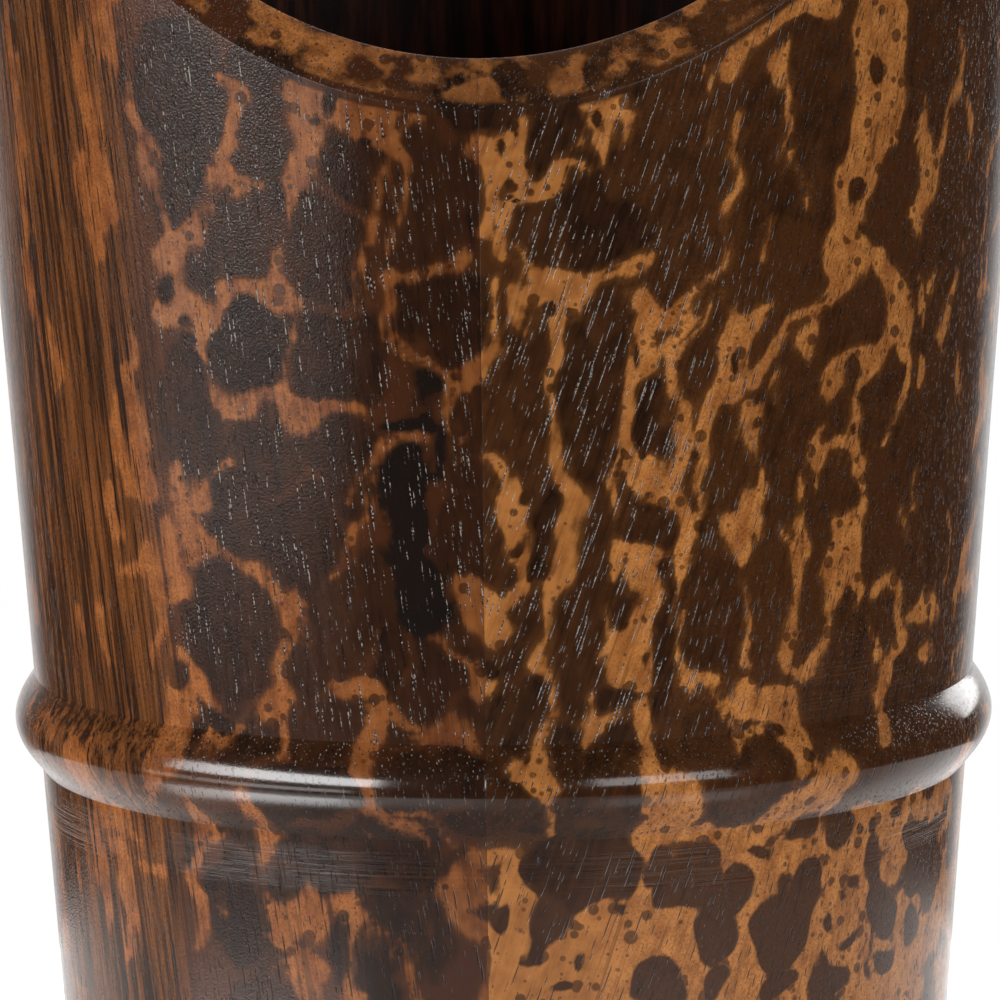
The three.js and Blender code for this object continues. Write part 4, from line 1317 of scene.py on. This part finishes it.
def makeTarnish(own):
    # patches of dark bloom, fine brushing and small stains for bare metal
    group, place, size, end = newGroup("tarnish", "Size", 90.0, ("Bloom", "Brush", "Speck"))
    x, y, z = separate(group, place)
    cloud = noise(group, place, size, *own["cloud"])
    across = own["brushAcross"]
    brush = noise(group, vector(group, x * across, y * across, z * own["brushAlong"]), *own["brush"])
    drop = Term(group, cells(group, place, size * own["speckScale"]).outputs["Distance"])
    speck = (own["speckSize"] - drop).ramp(0.0, own["speckEdge"]) * cloud.ramp(*own["speckCloud"])
    for label, value in (("Bloom", cloud.ramp(*own["cloudRamp"])), ("Brush", brush), ("Speck", speck)):
        feed(group, end.inputs[label], value)
    return group


tarnish = makeTarnish(tarnishSet)


def makeMetal(name, clean, bloomed, roughness, size):
    own = tarnishSet
    material, tree, shader = newMaterial(name)
    worn = placeGroup(tree, tarnish, Place=objectPlace(tree), Size=size)
    colour = blendColour(tree, worn["Bloom"].most(worn["Speck"]), clean, bloomed)
    feed(tree, shader.inputs["Base Color"], colour)
    shader.inputs["Metallic"].default_value = 1.0
    rough = roughness + worn["Bloom"] * own["roughBloom"] + (worn["Brush"] - 0.5) * own["roughBrush"]
    feed(tree, shader.inputs["Roughness"], rough)
    bump(tree, shader, worn["Brush"] * own["highBrush"] + worn["Bloom"] * own["highBloom"], *own["bump"])
    return material


linerCopper = makeMetal("linerCopper", srgb(190, 120, 84), srgb(96, 58, 42), 0.32, 85.0)
bailBrass = makeMetal("bailBrass", srgb(202, 164, 96), srgb(112, 82, 46), 0.28, 160.0)
tinSolder = makeMetal("tinSolder", srgb(168, 166, 160), srgb(110, 104, 98), 0.4, 200.0)


def linerOutside(own, z):
    return own["footRadius"] + own["taper"] * (z - own["foot"])


def linerInside(own, z):
    return linerOutside(own, z) - own["sheet"]


def makeLinerWall(own):
    steps, end = own["steps"], own["curlEnd"]
    levels = np.linspace(own["foot"], own["curlHeight"], steps)
    rise = [(linerOutside(own, z), z) for z in levels[:-1]]
    over = arc(own["curlRadius"], own["curlHeight"], own["curlInside"], 180, end, steps)
    back = arc(own["curlRadius"], own["curlHeight"], own["curlOutside"], end, 180, steps)
    fall = [(linerInside(own, z), z) for z in levels[::-1][1:]]
    mesh = turnedMesh("linerWall", rise + over + back + fall, own["segments"], True)
    finishPiece("linerWall", mesh, linerCopper, "liner", ["liner_wall"])


def makeLinerFloor(own):
    foot, sheet, bend, inner = own["foot"], own["sheet"], own["bend"], own["bendInside"]
    top = foot + own["flange"]
    under = top - sheet

    def outside(z):
        return linerInside(own, z) - own["gap"]

    def inside(z):
        return outside(z) - sheet

    profile = [(out, under - own["dish"] * share) for out, share in own["dishShape"]]
    profile += arc(inside(under) - inner, under - inner, inner, 90, 0, 4)
    profile += [(inside(foot), foot), (outside(foot), foot)]
    profile += arc(outside(top) - bend, top - bend, bend, 0, 90, 8)
    profile += [(out, top - own["dish"] * share) for out, share in own["dishShape"][::-1]]
    finishPiece("linerFloor", turnedMesh("linerFloor", profile, own["segments"]), linerCopper,
                "liner", ["liner_floor"])
    joint = arc(outside(top) - own["solderIn"], top - own["solderDown"], own["solder"], 0, 360, 12)[:-1]
    finishPiece("floorSolder", turnedMesh("floorSolder", joint, own["segments"], True), tinSolder,
                "liner")


def makeLinerSeam(own):
    # the wall's lap, a second thickness of sheet down the back inside
    work = bmesh.new()
    clear = own["seamClear"]
    turns = np.linspace(-1, 1, own["seamTurns"])
    rows = []
    bottom, top = own["foot"] + own["flange"] + clear, own["curlHeight"] - clear
    for height in np.linspace(bottom, top, own["seamRows"]):
        skin = linerInside(own, height)
        row = []
        for depth, order in ((own["seamThick"], turns), (-own["seamSunk"], turns[::-1])):
            for share in order:
                angle = share * own["seamHalf"] / skin
                out = (skin - depth) * mm
                row.append(work.verts.new((out * math.sin(angle), out * math.cos(angle), height * mm)))
        rows.append(row)
    around = len(rows[0])
    for low, high in zip(rows, rows[1:]):
        for index in range(around):
            after = (index + 1) % around
            work.faces.new((low[index], low[after], high[after], high[index]))
    finishPiece("linerSeam", meshFrom(work, "linerSeam"), linerCopper, "liner")


def makeWireTree():
    # a round wire drawn along any path of edges
    tree, given = startTree("wireAlong", {"Path": "Geometry", "Radius": "Float", "Sides": "Int",
                                          "Finish": "Material"})
    path = tree.nodes.new("GeometryNodeMeshToCurve")
    feed(tree, path.inputs["Mesh"], given["Path"])
    section = tree.nodes.new("GeometryNodeCurvePrimitiveCircle")
    feed(tree, section.inputs["Resolution"], given["Sides"])
    feed(tree, section.inputs["Radius"], given["Radius"])
    sweep = tree.nodes.new("GeometryNodeCurveToMesh")
    sweep.inputs["Fill Caps"].default_value = True
    tree.links.new(path.outputs[0], sweep.inputs["Curve"])
    tree.links.new(section.outputs[0], sweep.inputs["Profile Curve"])
    endTree(tree, sweep.outputs[0], given["Finish"])
    return tree


wireAlong = makeWireTree()
wireMesh = {"sides": 24, "sharp": 40}


def drawWire(name, points, closed, radius, body, nodes):
    edges = [(index, index + 1) for index in range(len(points) - 1)]
    if closed:
        edges.append((len(points) - 1, 0))
    path = bpy.data.meshes.new(name + "Path")
    path.from_pydata([(x * mm, y * mm, z * mm) for x, y, z in points], edges, [])
    values = {"Radius": radius * mm, "Sides": wireMesh["sides"], "Finish": bailBrass}
    thing = bakeTree(name, wireAlong, values, path)
    closeAndSmooth(thing, wireMesh["sharp"])
    settle(thing, body, nodes)


def makeRimWire(own):
    turns = np.linspace(0, 2 * math.pi, own["segments"] + 1)[:-1]
    radius, height = own["curlRadius"], own["curlHeight"]
    ring = [(radius * math.cos(angle), radius * math.sin(angle), height) for angle in turns]
    drawWire("linerRimWire", ring, True, own["wire"], "liner", ["liner_rim_wire"])


def makeEar(name, side, own, node):
    # a flat plate with a round head and an eye, then bent to the wall
    half, corner, eyeHeight = own["earHalf"], own["earCorner"], own["eyeHeight"]
    low = own["rimTop"] - own["earLength"]
    above, below, count = own["earStraight"]
    flank = np.linspace(low + above, eyeHeight - below, count)
    outline = [(-half + corner, low), (half - corner, low)]
    outline += arc(half - corner, low + corner, corner, -90, 0, 5)[1:]
    outline += [(half, z) for z in flank]
    outline += arc(0, eyeHeight, half, 0, 180, own["roundSteps"])
    outline += [(-half, z) for z in flank[::-1]]
    outline += arc(-half + corner, low + corner, corner, 180, 270, 5)[:-1]
    eye = arc(0, eyeHeight, own["eyeRadius"], 0, 360, own["roundSteps"])[:-1]
    work = bmesh.new()
    edges = []
    for loop in (outline, eye):
        verts = [work.verts.new((y, z, 0)) for y, z in loop]
        edges += [work.edges.new(pair) for pair in zip(verts, verts[1:] + verts[:1])]
    bmesh.ops.triangle_fill(work, edges=edges, use_beauty=True)
    raised = bmesh.ops.extrude_face_region(work, geom=list(work.faces))
    for item in raised["geom"]:
        if isinstance(item, bmesh.types.BMVert):
            item.co.z = own["earThick"]
    bmesh.ops.remove_doubles(work, verts=work.verts, dist=own["earWeld"])
    bmesh.ops.recalc_face_normals(work, faces=work.faces)
    rims = [edge for edge in work.edges
            if len(edge.link_faces) == 2 and edge.calc_face_angle(0) > own["earRim"]]
    bmesh.ops.bevel(work, geom=rims, offset=own["earBevel"], segments=2, affect="EDGES", profile=0.5)
    for vert in work.verts:
        y, z, depth = vert.co
        out = linerInside(own, z) - own["gap"] - depth
        turn = y / out
        vert.co = (side * out * math.cos(turn) * mm, side * out * math.sin(turn) * mm, z * mm)
    finishPiece(name, meshFrom(work, name), linerCopper, "liner", [node], own["earSharp"])


makeLinerWall(linerSet)
makeLinerFloor(linerSet)
makeLinerSeam(linerSet)
makeRimWire(linerSet)
makeEar("linerEarLeft", -1, linerSet, "liner_ear_left")
makeEar("linerEarRight", 1, linerSet, "liner_ear_right")


# bail of drawn wire, lying on the rim with its ends turned in through the eyes

bailSet = {"wire": 1.2, "bend": 3.0, "headRadius": 2.3, "headThick": 1.2, "headRound": 0.4,
           "stubPoints": 6, "bendSteps": 14, "loopSteps": 120, "roundSteps": 4, "headSegments": 40}


def makeBail(own, liner):
    height, loop, bend = liner["eyeHeight"], liner["curlRadius"], own["bend"]
    earIn = linerInside(liner, height) - liner["gap"] - liner["earThick"]
    stub = earIn - liner["gap"] - own["headThick"] / 2
    reach = loop - bend
    bendX = math.sqrt(reach ** 2 - bend ** 2)
    turn = math.degrees(math.asin(bend / reach))
    flat = [(x, 0.0) for x in np.linspace(stub, bendX, own["stubPoints"])[:-1]]
    flat += arc(bendX, -bend, bend, 90, -turn, own["bendSteps"])
    flat += arc(0, 0, loop, -turn, turn - 180, own["loopSteps"])[1:]
    flat += arc(-bendX, -bend, bend, turn - 180, -270, own["bendSteps"])[1:]
    flat += [(x, 0.0) for x in np.linspace(-bendX, -stub, own["stubPoints"])[1:]]
    drawWire("bailWire", [(x, y, height) for x, y in flat], False, own["wire"], "bail", ["liner_bail"])
    half, cut = own["headThick"] / 2, own["headRound"]
    middle = own["headRadius"] - cut
    button = [(0, -half)] + arc(middle, -half + cut, cut, -90, 0, own["roundSteps"])
    button += arc(middle, half - cut, cut, 0, 90, own["roundSteps"]) + [(0, half)]
    for label, side in (("bailHeadLeft", -1), ("bailHeadRight", 1)):
        mesh = turnedMesh(label, button, own["headSegments"])
        onEdge = Matrix.Rotation(math.pi / 2, 4, "Y")
        mesh.transform(Matrix.Translation((side * stub * mm, 0, height * mm)) @ onEdge)
        finishPiece(label, mesh, bailBrass, "bail")


makeBail(bailSet, linerSet)


# studio: a small pale floor, white behind, dark in front, soft panels around and one low at the left

studioSet = {
    "floorRadius": 0.30,
    "floorSegments": 96,
    "floorColour": srgb(235, 235, 235),
    "floorRough": 0.9,
    "floorSpecular": 0.1,
    "floorGlow": 6.5,
    # where the glow starts and ends: distance from the middle, and how far it faces the front
    "glowRing": ((0.115, 0.145), (0.235, 0.20)),
    "glowLeft": ((0.92, 0.80), (0.1, 0.3)),
    "glowRight": ((0.96, 0.88), (0.50, 0.62)),
    "glowBack": (0.0, -0.3),
    "rightShare": 0.25,
    "backShare": 0.08,
    "skyRamp": (0.80, 0.97, 0.05, 1.0),
    # name, place, aim, width, height, watts and whether it shows in reflections
    "lights": [
        ("softboxLeft", (-0.80, -0.60, 0.345), (0, 0, 0.30), 1.0, 0.32, 11.5, True),
        ("fillLeft", (-0.80, -0.60, 0.75), (0, 0, 0.12), 0.95, 0.45, 1.2, False),
        ("tableLeft", (-0.86, -0.50, -0.065), (0, 0, 0.10), 1.0, 0.12, 1.35, True),
        ("softboxRight", (0.616, -0.788, 0.345), (0, 0, 0.30), 0.56, 0.30, 4.6, True),
        ("fillRight", (0.92, -0.40, 0.55), (0, 0, 0.12), 0.9, 0.45, 2.2, False),
        ("softboxTop", (0.0, 0.48, 1.25), (0, 0, 0.12), 1.4, 0.35, 9.0, True),
        ("softboxBack", (0.45, 0.95, 0.40), (0, 0, 0.12), 0.7, 0.5, 6.0, True),
    ],
}


def makeFloorPaper(own):
    # pale paper with a faint glow behind and a side glow that only the lacquer shows
    material, tree, shader = newMaterial("floorPaper")
    x, y, _ = separate(tree, objectPlace(tree))
    out = (x * x + y * y).power(0.5).most(0.001)
    facing = -y / out

    def glow(value, label):
        rise, fall = own[label]
        return value.ramp(*rise) * value.ramp(*fall)

    seen = Term(tree, tree.nodes.new("ShaderNodeLightPath").outputs["Is Camera Ray"])
    right = x.above(0)
    sides = glow(facing, "glowLeft") * (1 - right) + glow(facing, "glowRight") * right * own["rightShare"]
    lit = glow(out, "glowRing") * sides * (1 - seen) + facing.ramp(*own["glowBack"]) * own["backShare"]
    shader.inputs["Base Color"].default_value = own["floorColour"]
    feed(tree, shader.inputs["Emission Color"], blendColour(tree, lit, (0, 0, 0, 1), (1, 1, 1, 1)))
    shader.inputs["Emission Strength"].default_value = own["floorGlow"]
    shader.inputs["Roughness"].default_value = own["floorRough"]
    shader.inputs["Specular IOR Level"].default_value = own["floorSpecular"]
    return material


def areaLight(name, place, aim, width, height, power, mirrored):
    data = bpy.data.lights.new(name, "AREA")
    data.shape = "RECTANGLE"
    data.size = width
    data.size_y = height
    data.energy = power
    light = addObject(name, data)
    light.location = place
    light.rotation_euler = (Vector(aim) - Vector(place)).to_track_quat("-Z", "Y").to_euler()
    light.visible_glossy = mirrored
    light.visible_camera = False


def makeStudio(own):
    work = bmesh.new()
    bmesh.ops.create_circle(work, cap_ends=True, segments=own["floorSegments"], radius=own["floorRadius"])
    floor = addObject("floor", meshFrom(work, "floor"))
    floor.data.materials.append(makeFloorPaper(own))
    world = bpy.data.worlds.new("surround")
    bpy.context.scene.world = world
    world.use_nodes = True
    tree = world.node_tree
    _, y, _ = separate(tree, tree.nodes.new("ShaderNodeTexCoord").outputs["Generated"])
    seen = Term(tree, tree.nodes.new("ShaderNodeLightPath").outputs["Is Camera Ray"])
    background = tree.nodes["Background"]
    feed(tree, background.inputs["Strength"], y.ramp(*own["skyRamp"]).most(seen))
    background.inputs["Color"].default_value = (1, 1, 1, 1)
    for light in own["lights"]:
        areaLight(*light)
    bpy.context.scene.view_settings.view_transform = "Standard"


makeStudio(studioSet)
print("studio lit")
